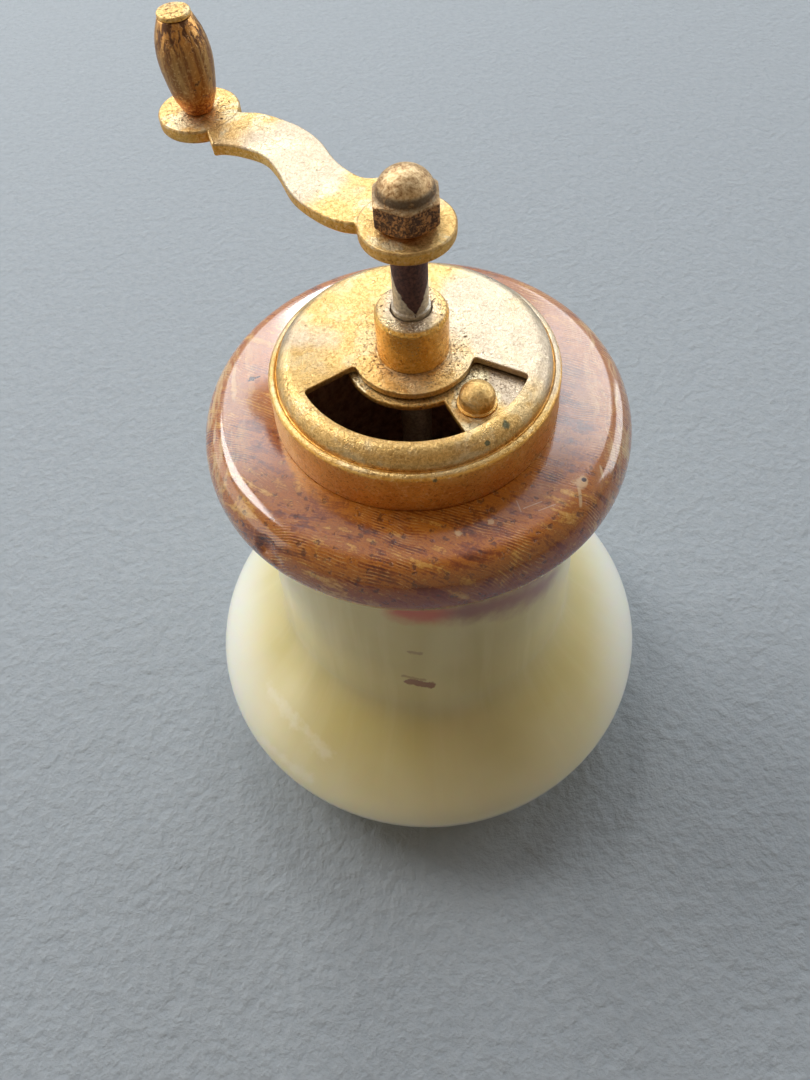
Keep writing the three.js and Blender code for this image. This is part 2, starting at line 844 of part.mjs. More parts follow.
// Housing: a disc in the stone's recess and a sleeve up the tube, with a seat for the ring below
// a narrow throat and a funnel
function burrHousing() {
  const body = turnedRing(
    [
      [seatRadius, housingBottom],
      [housingFlangeRadius, housingBottom],
      [housingFlangeRadius, housingFlangeTop],
      [housingRadius, housingFlangeTop],
      [housingRadius, housingTop],
      [housingRadius - housingRim, housingTop],
      [seatRadius - fit - housingLip, throatTop],
      [seatRadius - fit - housingLip, throatBottom],
      [seatRadius, throatBottom],
    ],
    largeSteps,
  );
  const holeTop = plateBottom + plateThickness + plateScrewReach + overrun;
  return geometryOf(
    [1, -1].reduce((whole, side) => {
      const hole = disc(plateScrewRadius + fit, housingBottom - overrun, holeTop);
      return whole.subtract(solidOf(hole.translate(0, side * screwCircle, 0)));
    }, solidOf(body)),
  );
}

function guideSpider() {
  const top = spiderBottom + spiderThickness;
  const bore = spindleRadius + fit;
  const rim = turnedRing(
    [
      [housingRadius - spiderRim, spiderBottom],
      [housingRadius, spiderBottom],
      [housingRadius, top],
      [housingRadius - spiderRim, top],
    ],
    largeSteps,
  );
  const hub = disc(bore + spiderHub, spiderBottom, top);
  const legLength = housingRadius - spiderRim / 2;
  let spider = solidOf(rim).add(solidOf(hub));
  for (let leg = 0; leg < spiderLegs; leg++) {
    const arm = block(legLength, spiderLegWidth, spiderBottom, top).translate(legLength / 2, 0, 0);
    spider = spider.add(solidOf(arm.rotateZ(Math.PI / 2 + (2 * Math.PI * leg) / spiderLegs)));
  }
  return geometryOf(spider.subtract(solidOf(disc(bore, spiderBottom - overrun, top + overrun))));
}

// Bottom plate: a ring that holds the toothed ring up, and a strap with a boss for the adjusting screw
function bottomPlate() {
  const openRadius = ringRadius - ringWall - plateLip;
  const ring = turnedRing(
    [
      [openRadius, plateBottom],
      [housingRadius, plateBottom],
      [housingRadius, plateTop],
      [openRadius, plateTop],
    ],
    largeSteps,
  );
  const strapLength = openRadius + housingRadius;
  const strap = block(strapLength, strapWidth, plateBottom, plateTop);
  const boss = disc(adjusterRadius + fit + bossWall, bossBottom, plateTop);
  const holes = [1, -1].map((side) => {
    const hole = disc(plateScrewRadius + fit, plateBottom - overrun, plateTop + overrun);
    return hole.translate(0, side * screwCircle, 0);
  });
  const thread = disc(adjusterRadius + fit, bossBottom - overrun, plateTop + overrun);
  const whole = solidOf(ring).add(solidOf(strap)).add(solidOf(boss));
  return geometryOf([...holes, thread].reduce((rest, hole) => rest.subtract(solidOf(hole)), whole));
}

// A screw pointing up: a slotted head below a plain shank. Its origin is the head's top face.
function slottedScrew(headRadius, headHeight, shankRadiusHere, shankLength) {
  const body = turned(
    [
      [0, -headHeight],
      [headRadius, -headHeight],
      [headRadius, 0],
      [shankRadiusHere, 0],
      [shankRadiusHere, shankLength],
      [0, shankLength],
    ],
    smallSteps,
  );
  const slotTop = -headHeight * (1 - slotDepthShare);
  const slot = block(2 * headRadius + overrun, slotWidth, -headHeight - overrun, slotTop);
  return geometryOf(solidOf(body).subtract(solidOf(slot)));
}

function thrustBall() {
  const centre = ballBottom + ballRadius;
  const ball = new THREE.SphereGeometry(ballRadius, ballSides, ballRings);
  return ball.rotateX(Math.PI / 2).translate(0, 0, centre);
}

addPiece("stone_body", stoneBody(), "paleStone");
addPiece("stone_flange", stoneFlange(), "brownStone");
addPiece("hopper_tube", hopperTube(), "tin");

addPiece("cap_shell", capShell(), "gilt");
addPiece("collar_bush", collarBush(), "gilt");
addPiece("shutter_plate", shutterPlate(), "wornGilt");
const knobOnShutter = addPiece("shutter_knob", shutterKnob(), "gilt");
knobOnShutter.position.set(
  shutterKnobDistance * Math.cos(degrees(shutterKnobAngle)),
  shutterKnobDistance * Math.sin(degrees(shutterKnobAngle)),
  shutterTop,
);
addPiece("shutter_retainer", shutterRetainer(), "steel");

addPiece("spindle", spindle(), "wornRod");
addPiece("crank_arm", crankArm(), "gilt", crank);
addPiece("crank_knob", crankKnob(), "gilt", crank).position.x = crankLength;
addPiece("knob_rivet", knobRivet(), "gilt", crank).position.x = crankLength;
addPiece("acorn_nut", acornNut(), "nutMetal");

addPiece("cone_burr", coneBurr(), "castIron");
addPiece("burr_nut", burrNut(), "steel");
addPiece("spring_washer", springWasher(), "steel");
addPiece("thrust_spring", thrustSpring(), "steel");
addPiece("guide_spider", guideSpider(), "tin");
addPiece("ring_burr", ringBurr(), "castIron");
addPiece("burr_housing", burrHousing(), "tin");

addPiece("bottom_plate", bottomPlate(), "steel");
const plateScrewShank = plateThickness + plateScrewReach;
[1, -1].forEach((side, index) => {
  const screw = slottedScrew(plateScrewHead, plateScrewHeadHeight, plateScrewRadius, plateScrewShank);
  const placed = addPiece("plate_screw_" + (index + 1), screw, "steel");
  placed.position.set(0, side * screwCircle, plateBottom - film);
});
const adjuster = slottedScrew(adjusterHead, adjusterHeadHeight, adjusterRadius, adjusterShank);
addPiece("adjuster_screw", adjuster, "steel").position.z = footClearance + adjusterHeadHeight;
addPiece("thrust_ball", thrustBall(), "steel");

export default mill;
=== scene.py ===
"""Looks of a hand-cranked spice mill: two polished stones, a gold-coloured cap with a sliding shutter,
and a wavy crank. Shapes are in metres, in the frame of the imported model."""
import json
from math import atan2, cos, degrees, pi, radians, sin, sqrt, tan, tau

import bmesh
import bpy
from mathutils import Matrix, Vector

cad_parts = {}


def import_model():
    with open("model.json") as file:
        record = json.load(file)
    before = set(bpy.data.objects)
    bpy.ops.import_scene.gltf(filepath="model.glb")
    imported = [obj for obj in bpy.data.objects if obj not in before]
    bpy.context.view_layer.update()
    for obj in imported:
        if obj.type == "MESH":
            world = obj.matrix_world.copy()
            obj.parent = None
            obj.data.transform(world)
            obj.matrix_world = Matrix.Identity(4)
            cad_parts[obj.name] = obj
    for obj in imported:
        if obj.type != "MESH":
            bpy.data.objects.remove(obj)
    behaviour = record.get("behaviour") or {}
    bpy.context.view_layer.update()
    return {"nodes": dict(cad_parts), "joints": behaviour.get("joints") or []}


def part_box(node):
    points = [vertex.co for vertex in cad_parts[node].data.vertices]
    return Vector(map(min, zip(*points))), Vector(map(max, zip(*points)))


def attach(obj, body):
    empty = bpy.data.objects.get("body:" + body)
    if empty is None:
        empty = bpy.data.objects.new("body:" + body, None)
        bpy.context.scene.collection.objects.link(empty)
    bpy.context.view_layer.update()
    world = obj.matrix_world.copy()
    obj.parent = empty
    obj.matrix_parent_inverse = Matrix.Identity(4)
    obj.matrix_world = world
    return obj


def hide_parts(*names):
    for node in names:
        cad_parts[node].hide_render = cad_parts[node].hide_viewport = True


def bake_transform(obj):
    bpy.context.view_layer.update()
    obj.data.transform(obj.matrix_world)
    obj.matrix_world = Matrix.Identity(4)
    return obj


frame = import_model()

MM = 0.001
QUARTER = pi / 2

# Meshes: edges are sharp from this angle on, and points closer than MERGE are one. A moved outline
# goes no further than its distance over MITRE_LIMIT at a sharp corner.
SHARP_DEGREES = 35
MERGE = 1e-7
MITRE_LIMIT = 0.45
EDGE_STEPS = 4
EDGE_MARGIN = 0.05 * MM
HOLE_ROUND = 0.08 * MM


# Places taken from the frame

def top_of(node):
    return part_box(node)[1].z


def bottom_of(node):
    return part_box(node)[0].z


def span(node):
    """The heights of a node's bottom and top."""
    return bottom_of(node), top_of(node)


def radius_of(node):
    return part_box(node)[1].x


cap_top = top_of("cap_shell")
shoulder_height = 2.51 * MM
lip = cap_top - shoulder_height
knob_spin, = [joint for joint in frame["joints"] if joint["name"] == "knob_spin"]
knob_axis = Vector(knob_spin["pos_m"]).xy
crank_length = knob_axis.length
crank_angle = atan2(knob_axis.y, knob_axis.x)


# Meshes

def mesh_object(name, points, faces, sharp_degrees=SHARP_DEGREES):
    mesh = bpy.data.meshes.new(name)
    mesh.from_pydata([tuple(point) for point in points], [], faces)
    mesh.validate()
    bm = bmesh.new()
    bm.from_mesh(mesh)
    bmesh.ops.remove_doubles(bm, verts=bm.verts, dist=MERGE)
    bmesh.ops.recalc_face_normals(bm, faces=bm.faces)
    bm.to_mesh(mesh)
    bm.free()
    return shown(name, mesh, sharp_degrees)


def linked(name, data):
    """A new object of the scene."""
    thing = bpy.data.objects.new(name, data)
    bpy.context.scene.collection.objects.link(thing)
    return thing


def shown(name, mesh, sharp_degrees=SHARP_DEGREES):
    """The mesh as a piece of the scene, shaded smooth but for its sharp edges."""
    mesh.shade_smooth()
    mesh.set_sharp_from_angle(angle=radians(sharp_degrees))
    return linked(name, mesh)


def rounded(corners, closed=False, steps=5):
    """A line through 2-D corners, each (x, y) or (x, y, radius), with its corners rounded off."""
    count = len(corners)
    line = []
    for index, corner in enumerate(corners):
        here = Vector(corner[:2])
        radius = corner[2] if len(corner) > 2 else 0
        at_end = not closed and index in (0, count - 1)
        if radius == 0 or at_end:
            line.append(here)
            continue
        back = Vector(corners[index - 1][:2]) - here
        ahead = Vector(corners[(index + 1) % count][:2]) - here
        half = back.angle(ahead) / 2
        reach = min(radius / tan(half), 0.49 * back.length, 0.49 * ahead.length)
        start = here + back.normalized() * reach
        end = here + ahead.normalized() * reach
        for step in range(steps + 1):
            share = step / steps
            line.append((1 - share) ** 2 * start + 2 * share * (1 - share) * here + share ** 2 * end)
    return line


def bezier(start, start_handle, end_handle, end, steps):
    corners = [Vector(corner) for corner in (start, start_handle, end_handle, end)]
    line = []
    for step in range(steps + 1):
        share = step / steps
        rest = 1 - share
        weights = (rest ** 3, 3 * rest ** 2 * share, 3 * rest * share ** 2, share ** 3)
        line.append(sum((corner * weight for corner, weight in zip(corners, weights)), Vector((0, 0))))
    return line


def arc(centre, reach, rise, start, end, steps):
    """Points of an ellipse's arc about a 2-D centre, between two angles."""
    angles = [start + (end - start) * step / steps for step in range(steps + 1)]
    return [Vector((centre[0] + reach * cos(angle), centre[1] + rise * sin(angle)))
            for angle in angles]


def spline(corners, steps):
    """A smooth line through 2-D points, as a Catmull-Rom spline."""
    points = [Vector(corner) for corner in corners]
    points = [2 * points[0] - points[1], *points, 2 * points[-1] - points[-2]]
    line = []
    for index in range(1, len(points) - 2):
        a, b, c, d = points[index - 1:index + 3]
        for step in range(steps):
            t = step / steps
            line.append(0.5 * (2 * b + (c - a) * t + (2 * a - 5 * b + 4 * c - d) * t * t
                               + (3 * b - a - 3 * c + d) * t ** 3))
    line.append(points[-2])
    return line


def circle(radius, steps, centre=(0, 0)):
    return arc(centre, radius, radius, 0, tau, steps)[:-1]


class Shell:
    """Points and faces of one piece, gathered ring by ring."""

    def __init__(self):
        self.points = []
        self.faces = []

    def ring(self, outline, height):
        start = len(self.points)
        self.points += [Vector((point[0], point[1], height)) for point in outline]
        return list(range(start, len(self.points)))

    def rounds(self, line, steps):
        """A round ring for each (radius, height) of a line. At no radius its points merge in mesh_object."""
        return [self.ring(circle(radius, steps), height) for radius, height in line]

    def join(self, ring, other):
        count = len(ring)
        for index in range(count):
            beside = (index + 1) % count
            self.faces.append((ring[index], ring[beside], other[beside], other[index]))

    def stack(self, rings):
        for ring, other in zip(rings, rings[1:]):
            self.join(ring, other)

    def fill(self, *loops):
        """Flat faces between closed loops at one height: the first is the outside, the rest are holes."""
        bm = bmesh.new()
        edges = []
        numbers = {}
        for loop in loops:
            corners = [bm.verts.new(self.points[index]) for index in loop]
            numbers.update(zip(corners, loop))
            edges += [bm.edges.new((corner, corners[(index + 1) % len(corners)]))
                      for index, corner in enumerate(corners)]
        bmesh.ops.triangle_fill(bm, edges=edges, use_beauty=True, use_dissolve=False)
        self.faces += [tuple(numbers[corner] for corner in face.verts) for face in bm.faces]
        bm.free()


def turned(name, profile, steps=192, closed=False, shape=None):
    """A piece turned about the Z axis from a line of (radius, height). shape may move each point."""
    shell = Shell()
    rings = shell.rounds(profile, steps)
    shell.stack(rings + rings[:1] if closed else rings)
    if shape:
        shell.points = [shape(point) for point in shell.points]
    return mesh_object(name, shell.points, shell.faces)


def inset(outline, distance):
    """The closed outline moved to its inside, or outside for a negative distance. It runs anticlockwise."""
    moved = []
    for index, point in enumerate(outline):
        back = (point - outline[index - 1]).normalized()
        ahead = (outline[(index + 1) % len(outline)] - point).normalized()
        square = Vector((-back.y, back.x))
        normal = square + Vector((-ahead.y, ahead.x))
        normal = (normal if normal.length > MERGE else square).normalized()
        moved.append(point + normal * (distance / max(MITRE_LIMIT, square.dot(normal))))
    return moved


def edge_rings(shell, outline, low, high, low_round, high_round, sign=1):
    """Rings up the side of a plate, with rounded edges and a thin flat margin at each face."""
    line = [(low_round + EDGE_MARGIN, low)]
    turns = [QUARTER * step / EDGE_STEPS for step in range(EDGE_STEPS + 1)]
    line += [(low_round * (1 - sin(turn)), low + low_round * (1 - cos(turn))) for turn in turns]
    line += [(high_round * (1 - cos(turn)), high - high_round * (1 - sin(turn))) for turn in turns]
    line.append((high_round + EDGE_MARGIN, high))
    rings = [shell.ring(inset(outline, sign * distance), height) for distance, height in line]
    shell.stack(rings)
    return rings[0], rings[-1]


def plate(name, outline, low, high, low_round, high_round, holes):
    """A flat plate with rounded edges and holes, all outlines anticlockwise."""
    shell = Shell()
    loops = [edge_rings(shell, outline, low, high, low_round, high_round)]
    loops += [edge_rings(shell, hole, low, high, HOLE_ROUND, HOLE_ROUND, -1) for hole in holes]
    for side in zip(*loops):
        shell.fill(*side)
    return mesh_object(name, shell.points, shell.faces)


def dress(piece, body, slot, material, *nodes):
    """The piece rides on a body, stands for CAD nodes and takes a material."""
    piece.data.materials.clear()
    piece.data.materials.append(material)
    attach(piece, body)
    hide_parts(*nodes)


# Shader nodes

class Nodes:
    """Short names for the nodes of one tree."""

    def __init__(self, tree):
        self.tree = tree

    def add(self, kind, **settings):
        node = self.tree.nodes.new(kind)
        for name, value in settings.items():
            setattr(node, name, value)
        return node

    def put(self, socket, value):
        """A link to the socket, or a plain value set on it."""
        if isinstance(value, bpy.types.NodeSocket):
            self.tree.links.new(value, socket)
        elif socket.type == "RGBA" and len(value) == 3:
            socket.default_value = (*value, 1)
        else:
            socket.default_value = value

    def fill(self, node, *values):
        """The values into the node's first sockets, one by one."""
        for socket, value in zip(node.inputs, values):
            self.put(socket, value)
        return node.outputs[0]

    def math(self, operation, a, b=0.0):
        return self.fill(self.add("ShaderNodeMath", operation=operation), a, b)

    def chain(self, operation, values):
        """All the values, joined two by two by one operation."""
        whole = values[0]
        for value in values[1:]:
            whole = self.math(operation, whole, value)
        return whole

    def plus(self, *values):
        return self.chain("ADD", values)

    def times(self, *values):
        return self.chain("MULTIPLY", values)

    def either(self, *masks):
        return self.chain("MAXIMUM", masks)

    def minus(self, a, b):
        return self.math("SUBTRACT", a, b)

    def step(self, value, low, high, to_low=0.0, to_high=1.0):
        """A smooth step from to_low to to_high as the value goes from low to high."""
        node = self.add("ShaderNodeMapRange", interpolation_type="SMOOTHSTEP")
        return self.fill(node, value, low, high, to_low, to_high)

    def mix(self, share, a, b, blend="MIX"):
        node = self.add("ShaderNodeMix", data_type="RGBA", blend_type=blend)
        for index, value in ((0, share), (6, a), (7, b)):
            self.put(node.inputs[index], value)
        return node.outputs[2]

    def layers(self, tone, *layers):
        """The tone under layers of colour, each (share, colour)."""
        for share, colour in layers:
            tone = self.mix(share, tone, colour)
        return tone


class Shader(Nodes):
    """One procedural material. Lengths in its patterns are in millimetres, in the frame of the model."""

    def __init__(self, name):
        self.material = bpy.data.materials.new(name)
        self.material.use_nodes = True
        super().__init__(self.material.node_tree)
        self.tree.nodes.clear()
        self.surface = self.add("ShaderNodeBsdfPrincipled")
        self.put(self.add("ShaderNodeOutputMaterial").inputs["Surface"], self.surface.outputs["BSDF"])
        coordinates = self.add("ShaderNodeTexCoord").outputs["Object"]
        self.place = self.vector("MULTIPLY", coordinates, (1 / MM, 1 / MM, 1 / MM))
        split = self.add("ShaderNodeSeparateXYZ")
        self.fill(split, self.place)
        self.x, self.y, self.z = split.outputs

    def set(self, **values):
        for name, value in values.items():
            self.put(self.surface.inputs[name.replace("_", " ").title()], value)

    def vector(self, operation, a, b=(0, 0, 0)):
        node = self.add("ShaderNodeVectorMath", operation=operation)
        self.fill(node, a, b)
        return node.outputs["Value" if operation in ("LENGTH", "DISTANCE", "DOT_PRODUCT") else "Vector"]

    def combine(self, x, y, z):
        return self.fill(self.add("ShaderNodeCombineXYZ"), x, y, z)

    def moved(self, place, shift):
        """The place that a pattern is read at. Each shift gives another part of the pattern."""
        place = place or self.place
        return self.vector("ADD", place, (shift, -2 * shift, 3 * shift)) if shift else place

    def noise(self, size, detail=4.0, rough=0.55, distortion=0.0, place=None, shift=0.0, colour=False):
        node = self.add("ShaderNodeTexNoise")
        self.put(node.inputs["Vector"], self.moved(place, shift))
        node.inputs["Scale"].default_value = 1 / size
        node.inputs["Detail"].default_value = detail
        node.inputs["Roughness"].default_value = rough
        node.inputs["Distortion"].default_value = distortion
        return node.outputs["Color" if colour else "Fac"]

    def cells(self, size, feature="F1", place=None, shift=0.0):
        node = self.add("ShaderNodeTexVoronoi", feature=feature)
        self.put(node.inputs["Vector"], self.moved(place, shift))
        node.inputs["Scale"].default_value = 1 / size
        return node.outputs["Distance"]

    def warped(self, size, strength, detail):
        """The place, pushed about by a slow noise."""
        push = self.vector("SUBTRACT", self.noise(size, detail, 0.5, colour=True), (0.5, 0.5, 0.5))
        push = self.vector("MULTIPLY", push, (2 * strength, 2 * strength, 2 * strength))
        return self.vector("ADD", self.place, push)

    def away(self, x, y):
        """The distance from an upright line."""
        return self.vector("LENGTH", self.combine(self.minus(self.x, x), self.minus(self.y, y), 0.0))

    def band(self, value, centre, half, soft):
        """1 within half of the centre, falling to 0 over soft on both sides."""
        away = self.math("ABSOLUTE", self.minus(value, centre))
        return self.step(away, half, half + soft, 1.0, 0.0)

    def near(self, away, width, soft, ragged, size):
        """1 nearer than the width, with a soft and ragged edge."""
        if ragged:
            rag = self.minus(self.noise(size, 4, 0.6), 0.5)
            away = self.plus(away, self.times(rag, 2 * ragged))
        return self.step(away, width * (1 - soft), width, 1.0, 0.0)

    def spot(self, centre, radius, soft=0.4, ragged=0.0, size=1.0):
        """1 inside a ball about a centre."""
        return self.near(self.vector("DISTANCE", self.place, centre), radius, soft, ragged, size)

    def streak(self, start, end, width, soft=0.6, ragged=0.0, size=1.0):
        """1 along a straight line between two places."""
        along = Vector(end) - Vector(start)
        offset = self.vector("SUBTRACT", self.place, start)
        share = self.vector("DOT_PRODUCT", offset, tuple(along / along.length_squared))
        share = self.math("MINIMUM", self.math("MAXIMUM", share, 0.0), 1.0)
        nearest = self.vector("MULTIPLY", self.combine(share, share, share), tuple(along))
        return self.near(self.vector("DISTANCE", offset, nearest), width, soft, ragged, size)

    def marks(self, streaks, spots=()):
        """1 along any of the streaks and inside any of the spots."""
        return self.either(*[self.streak(*mark) for mark in streaks], *[self.spot(*mark) for mark in spots])

    def ramp(self, value, stops, smooth=False):
        node = self.add("ShaderNodeValToRGB")
        ramp = node.color_ramp
        ramp.interpolation = "B_SPLINE" if smooth else "LINEAR"
        while len(ramp.elements) < len(stops):
            ramp.elements.new(0.5)
        for element, (at, colour) in zip(ramp.elements, stops):
            element.position = at
            element.color = (*colour, 1)
        return self.fill(node, value)

    def blend(self, share, a, b):
        """A number between a and b."""
        node = self.add("ShaderNodeMix", data_type="FLOAT")
        for index, value in ((0, share), (2, a), (3, b)):
            self.put(node.inputs[index], value)
        return node.outputs[0]

    def bump(self, height, depth):
        """Bump of a height from 0 to 1, this many millimetres deep."""
        node = self.add("ShaderNodeBump")
        node.inputs["Strength"].default_value = 1.0
        node.inputs["Distance"].default_value = depth * MM
        self.put(node.inputs["Height"], height)
        return node.outputs["Normal"]


def rgb(red, green, blue):
    """A screen colour of 0 to 255 as the light it stands for."""
    return tuple(((part / 255 + 0.055) / 1.055) ** 2.4 if part > 10 else part / 255 / 12.92
                 for part in (red, green, blue))


# Materials

def gold_tone(s, grain):
    """Satin gold: slow patches of deeper and lighter gold under a fine grain."""
    slow = s.noise(7.5, 4, 0.6)
    tone = s.ramp(slow, [(0.3, (0.76, 0.38, 0.07)), (0.47, (0.86, 0.48, 0.1)), (0.6, (0.9, 0.56, 0.15)),
                         (0.75, (0.8, 0.43, 0.09))])
    tone = s.mix(s.step(grain, 0.52, 0.68, 0.0, 0.75), tone, (1.0, 0.76, 0.4))
    return s.mix(s.step(grain, 0.48, 0.34, 0.0, 0.75), tone, (0.44, 0.18, 0.04))


def worn_tone(s, grain, pale_at, patches):
    """Plating worn pale: golden to champagne, with bright patches crossed by fine grey lines."""
    golden = s.mix(s.step(grain, 0.3, 0.68), (0.46, 0.27, 0.08), (0.84, 0.58, 0.24))
    pale = s.mix(s.step(grain, 0.28, 0.7), (0.46, 0.36, 0.25), (0.68, 0.57, 0.43))
    x, y, reach = pale_at
    # Palest about pale_at. On the cap this is partly a painted highlight.
    where = s.plus(s.noise(9, 3, 0.5, shift=12.0), s.step(s.away(x, y), 0.2 * reach, reach, 0.24, -0.16))
    tone = s.mix(s.step(where, 0.36, 0.66), golden, pale)
    patch = s.step(s.noise(4.5, 5, 0.65, 0.4, shift=9.0), 0.5, 0.6)
    tone = s.mix(s.times(patch, patches), tone, (0.82, 0.72, 0.48))
    line = s.step(s.cells(1.1, "DISTANCE_TO_EDGE", s.warped(0.8, 0.5, 3)), 0.01, 0.07, 1.0, 0.0)
    return s.mix(s.times(line, patch, patches), tone, (0.34, 0.27, 0.15))


def specks(s, centre, reach, crackle):
    """Dark specks, dense within the first reach of an upright centre line and rare past the second."""
    near = s.step(s.away(*centre), reach[0], reach[1], 1.0, 0.0)
    dust = s.noise(0.36, 4, 0.7, shift=7.7)
    dust = s.step(dust, s.blend(near, 0.66, 0.54), s.blend(near, 0.72, 0.6))
    pits = s.step(s.cells(1.7, shift=1.3), s.blend(near, 0.09, 0.24), s.blend(near, 0.04, 0.1))
    pits = s.times(pits, s.step(s.noise(2.6, 3, 0.6, shift=4.4), 0.5, 0.58),
                   s.step(s.noise(0.3, 3), 0.35, 0.5))
    dirt = s.either(s.times(dust, 0.7), s.times(pits, 0.9))
    if crackle:
        line = s.step(s.cells(2.1, "DISTANCE_TO_EDGE", s.warped(1.3, 0.7, 4)), 0.01, 0.05, 1.0, 0.0)
        where = s.step(s.noise(4.6, 4, 0.65, shift=9.0), 0.5, 0.6)
        broken = s.step(s.noise(0.5, 3, 0.6, shift=5.0), 0.42, 0.55)
        dirt = s.either(dirt, s.times(line, where, broken, crackle))
    return dirt


def gilt(name, reach, pale_above, crackle=0.0, centre=(0, 0), spots=(), seams=(), rough=0.38,
         pale_at=(0, 0, 8), patches=0.4):
    """Gold-coloured plating with dark specks, worn pale above a height, with green spots and round seams."""
    s = Shader(name)
    grain = s.noise(0.45, 4, 0.7, 0.8, shift=3.1)
    fine = s.noise(0.24, 3, 0.6, 0.5, shift=2.0)
    worn = s.step(s.z, pale_above - 0.3, pale_above)
    tone = s.mix(worn, gold_tone(s, grain), worn_tone(s, grain, pale_at, patches))
    dirt = specks(s, centre, reach, crackle)
    for x, y, radius in seams:
        dirt = s.either(dirt, s.times(s.band(s.away(x, y), radius, 0.03, 0.12), 0.35))
    colour = s.mix(dirt, tone, (0.12, 0.05, 0.02))
    metal = s.minus(1.0, s.times(dirt, 0.5))
    for place, radius in spots:
        blot = s.times(s.spot(place, radius, 0.4, radius * 0.7, radius * 0.6), 0.8)
        colour = s.mix(blot, colour, (0.09, 0.14, 0.075))
        metal = s.times(metal, s.minus(1.0, blot))
    gloss = s.step(s.noise(5, 4, 0.6, shift=6.0), 0.3, 0.7, rough - 0.06, rough + 0.08)
    dents = s.minus(s.noise(2.4, 3, 0.5, shift=5.0), s.times(dirt, 0.5))
    s.set(base_color=colour, metallic=metal, roughness=s.plus(gloss, s.times(dirt, 0.3)),
          normal=s.bump(s.plus(s.times(grain, 0.8), s.times(fine, 0.5), dents), 0.12))
    return s.material


def knob_gold_and_painted_shade():
    """The crank knob: deeper gold, partly its own tone and partly painted shade, with dark streaks running
    down from its top and an orange foot.
    """
    s = Shader("knob_gold")
    low, high = [height / MM for height in span("crank_knob")]
    streaks = s.noise(0.75, 4, 0.65, 0.3, place=s.vector("MULTIPLY", s.place, (1, 1, 0.13)), shift=1.0)
    fine = s.noise(0.35, 4, 0.65, 0.5)
    # Deeper gold than the other plating: partly painted shade.
    tone = s.mix(s.step(streaks, 0.38, 0.6), (0.56, 0.3, 0.1), (0.34, 0.15, 0.05))
    foot = s.step(s.plus(s.z, s.times(fine, 2)), low + 5.5, low + 2.0)
    tone = s.mix(foot, tone, s.mix(s.step(fine, 0.4, 0.56), (0.34, 0.09, 0.03), (0.66, 0.27, 0.07)))
    tone = s.mix(s.step(fine, 0.52, 0.66, 0.0, 0.5), tone, (0.88, 0.6, 0.25))
    stain = s.times(s.step(streaks, 0.5, 0.57), s.step(s.z, high - 5.0, high - 1.5))
    stain = s.either(stain, s.step(s.noise(0.8, 4, 0.7, shift=5.0), 0.6, 0.68))
    s.set(base_color=s.mix(s.times(stain, 0.78), tone, (0.07, 0.028, 0.016)),
          metallic=s.minus(0.95, s.times(stain, 0.4)), roughness=s.step(fine, 0.3, 0.7, 0.28, 0.44),
          normal=s.bump(s.minus(fine, stain), 0.05))
    return s.material


def worn_nut():
    """The nut: a tan dome over a dirty ring, a pale chamfer, dark mottled sides and a gold foot."""
    s = Shader("worn_nut")
    foot = (bottom_of("acorn_nut") + NUT_FOOT) / MM
    rim = foot + NUT_SIDES / MM
    mottle = s.noise(0.9, 5, 0.7, 0.6)
    fine = s.noise(0.28, 4, 0.65, shift=2.0)
    mixed = s.plus(s.times(mottle, 0.6), s.times(fine, 0.4))
    tone = s.ramp(mixed, [(0.38, (0.16, 0.08, 0.03)), (0.46, (0.42, 0.26, 0.12)), (0.53, (0.6, 0.42, 0.22)),
                          (0.6, (0.78, 0.6, 0.36))])
    ring = s.times(s.band(s.z, rim + 0.5, 0.25, 0.6), s.step(mottle, 0.36, 0.52))
    sides = s.times(s.step(s.z, rim - 0.35, rim - 0.5), s.step(s.z, foot - 0.1, foot + 0.15),
                    s.step(mixed, 0.54, 0.46))
    dirt = s.either(s.times(ring, 0.75), s.times(sides, 0.85))
    tone = s.mix(s.step(s.z, foot + 0.2, foot - 0.1), tone, (0.9, 0.5, 0.13))
    brown = s.mix(s.step(mixed, 0.4, 0.56), (0.3, 0.13, 0.05), (0.52, 0.26, 0.1))
    tone = s.mix(s.step(s.z, rim - 0.2, rim - 0.5), tone, brown)
    s.set(base_color=s.mix(dirt, tone, (0.045, 0.024, 0.014)), metallic=s.minus(0.8, s.times(dirt, 0.6)),
          roughness=s.plus(s.step(fine, 0.3, 0.7, 0.42, 0.56), s.times(dirt, 0.2)),
          normal=s.bump(s.minus(mixed, s.times(dirt, 0.5)), 0.12))
    return s.material


def flaked_rod():
    """Grey plating on the rod, flaked off to dark rust in one ragged patch that narrows downwards."""
    s = Shader("flaked_rod")
    tip = top_of("collar_bush") / MM + 0.6
    angle = s.math("DEGREES", s.math("ARCTAN2", s.y, s.x))
    turn = s.math("ABSOLUTE", s.plus(angle, 80))
    turn = s.math("MINIMUM", turn, s.minus(360, turn))
    rag = s.times(s.minus(s.noise(0.9, 5, 0.65), 0.5), 2.4)
    above = s.minus(s.z, s.plus(tip, s.times(turn, 0.07)))
    below = s.minus(s.step(angle, -76, -66, tip + 9, tip + 12.5), s.z)
    rust = s.step(s.plus(s.math("MINIMUM", above, below), rag), -0.12, 0.12)
    fine = s.noise(0.5, 5, 0.7, shift=3.0)
    coat = s.mix(s.step(fine, 0.35, 0.65), (0.42, 0.37, 0.3), (0.7, 0.64, 0.52))
    bare = s.mix(s.step(fine, 0.35, 0.65), (0.05, 0.02, 0.018), (0.15, 0.06, 0.045))
    s.set(base_color=s.mix(rust, coat, bare), metallic=s.step(rust, 0.3, 0.7, 0.7, 0.1),
          roughness=s.step(rust, 0.3, 0.7, 0.42, 0.6), normal=s.bump(s.minus(s.times(fine, 0.4), rust), 0.06))
    return s.material


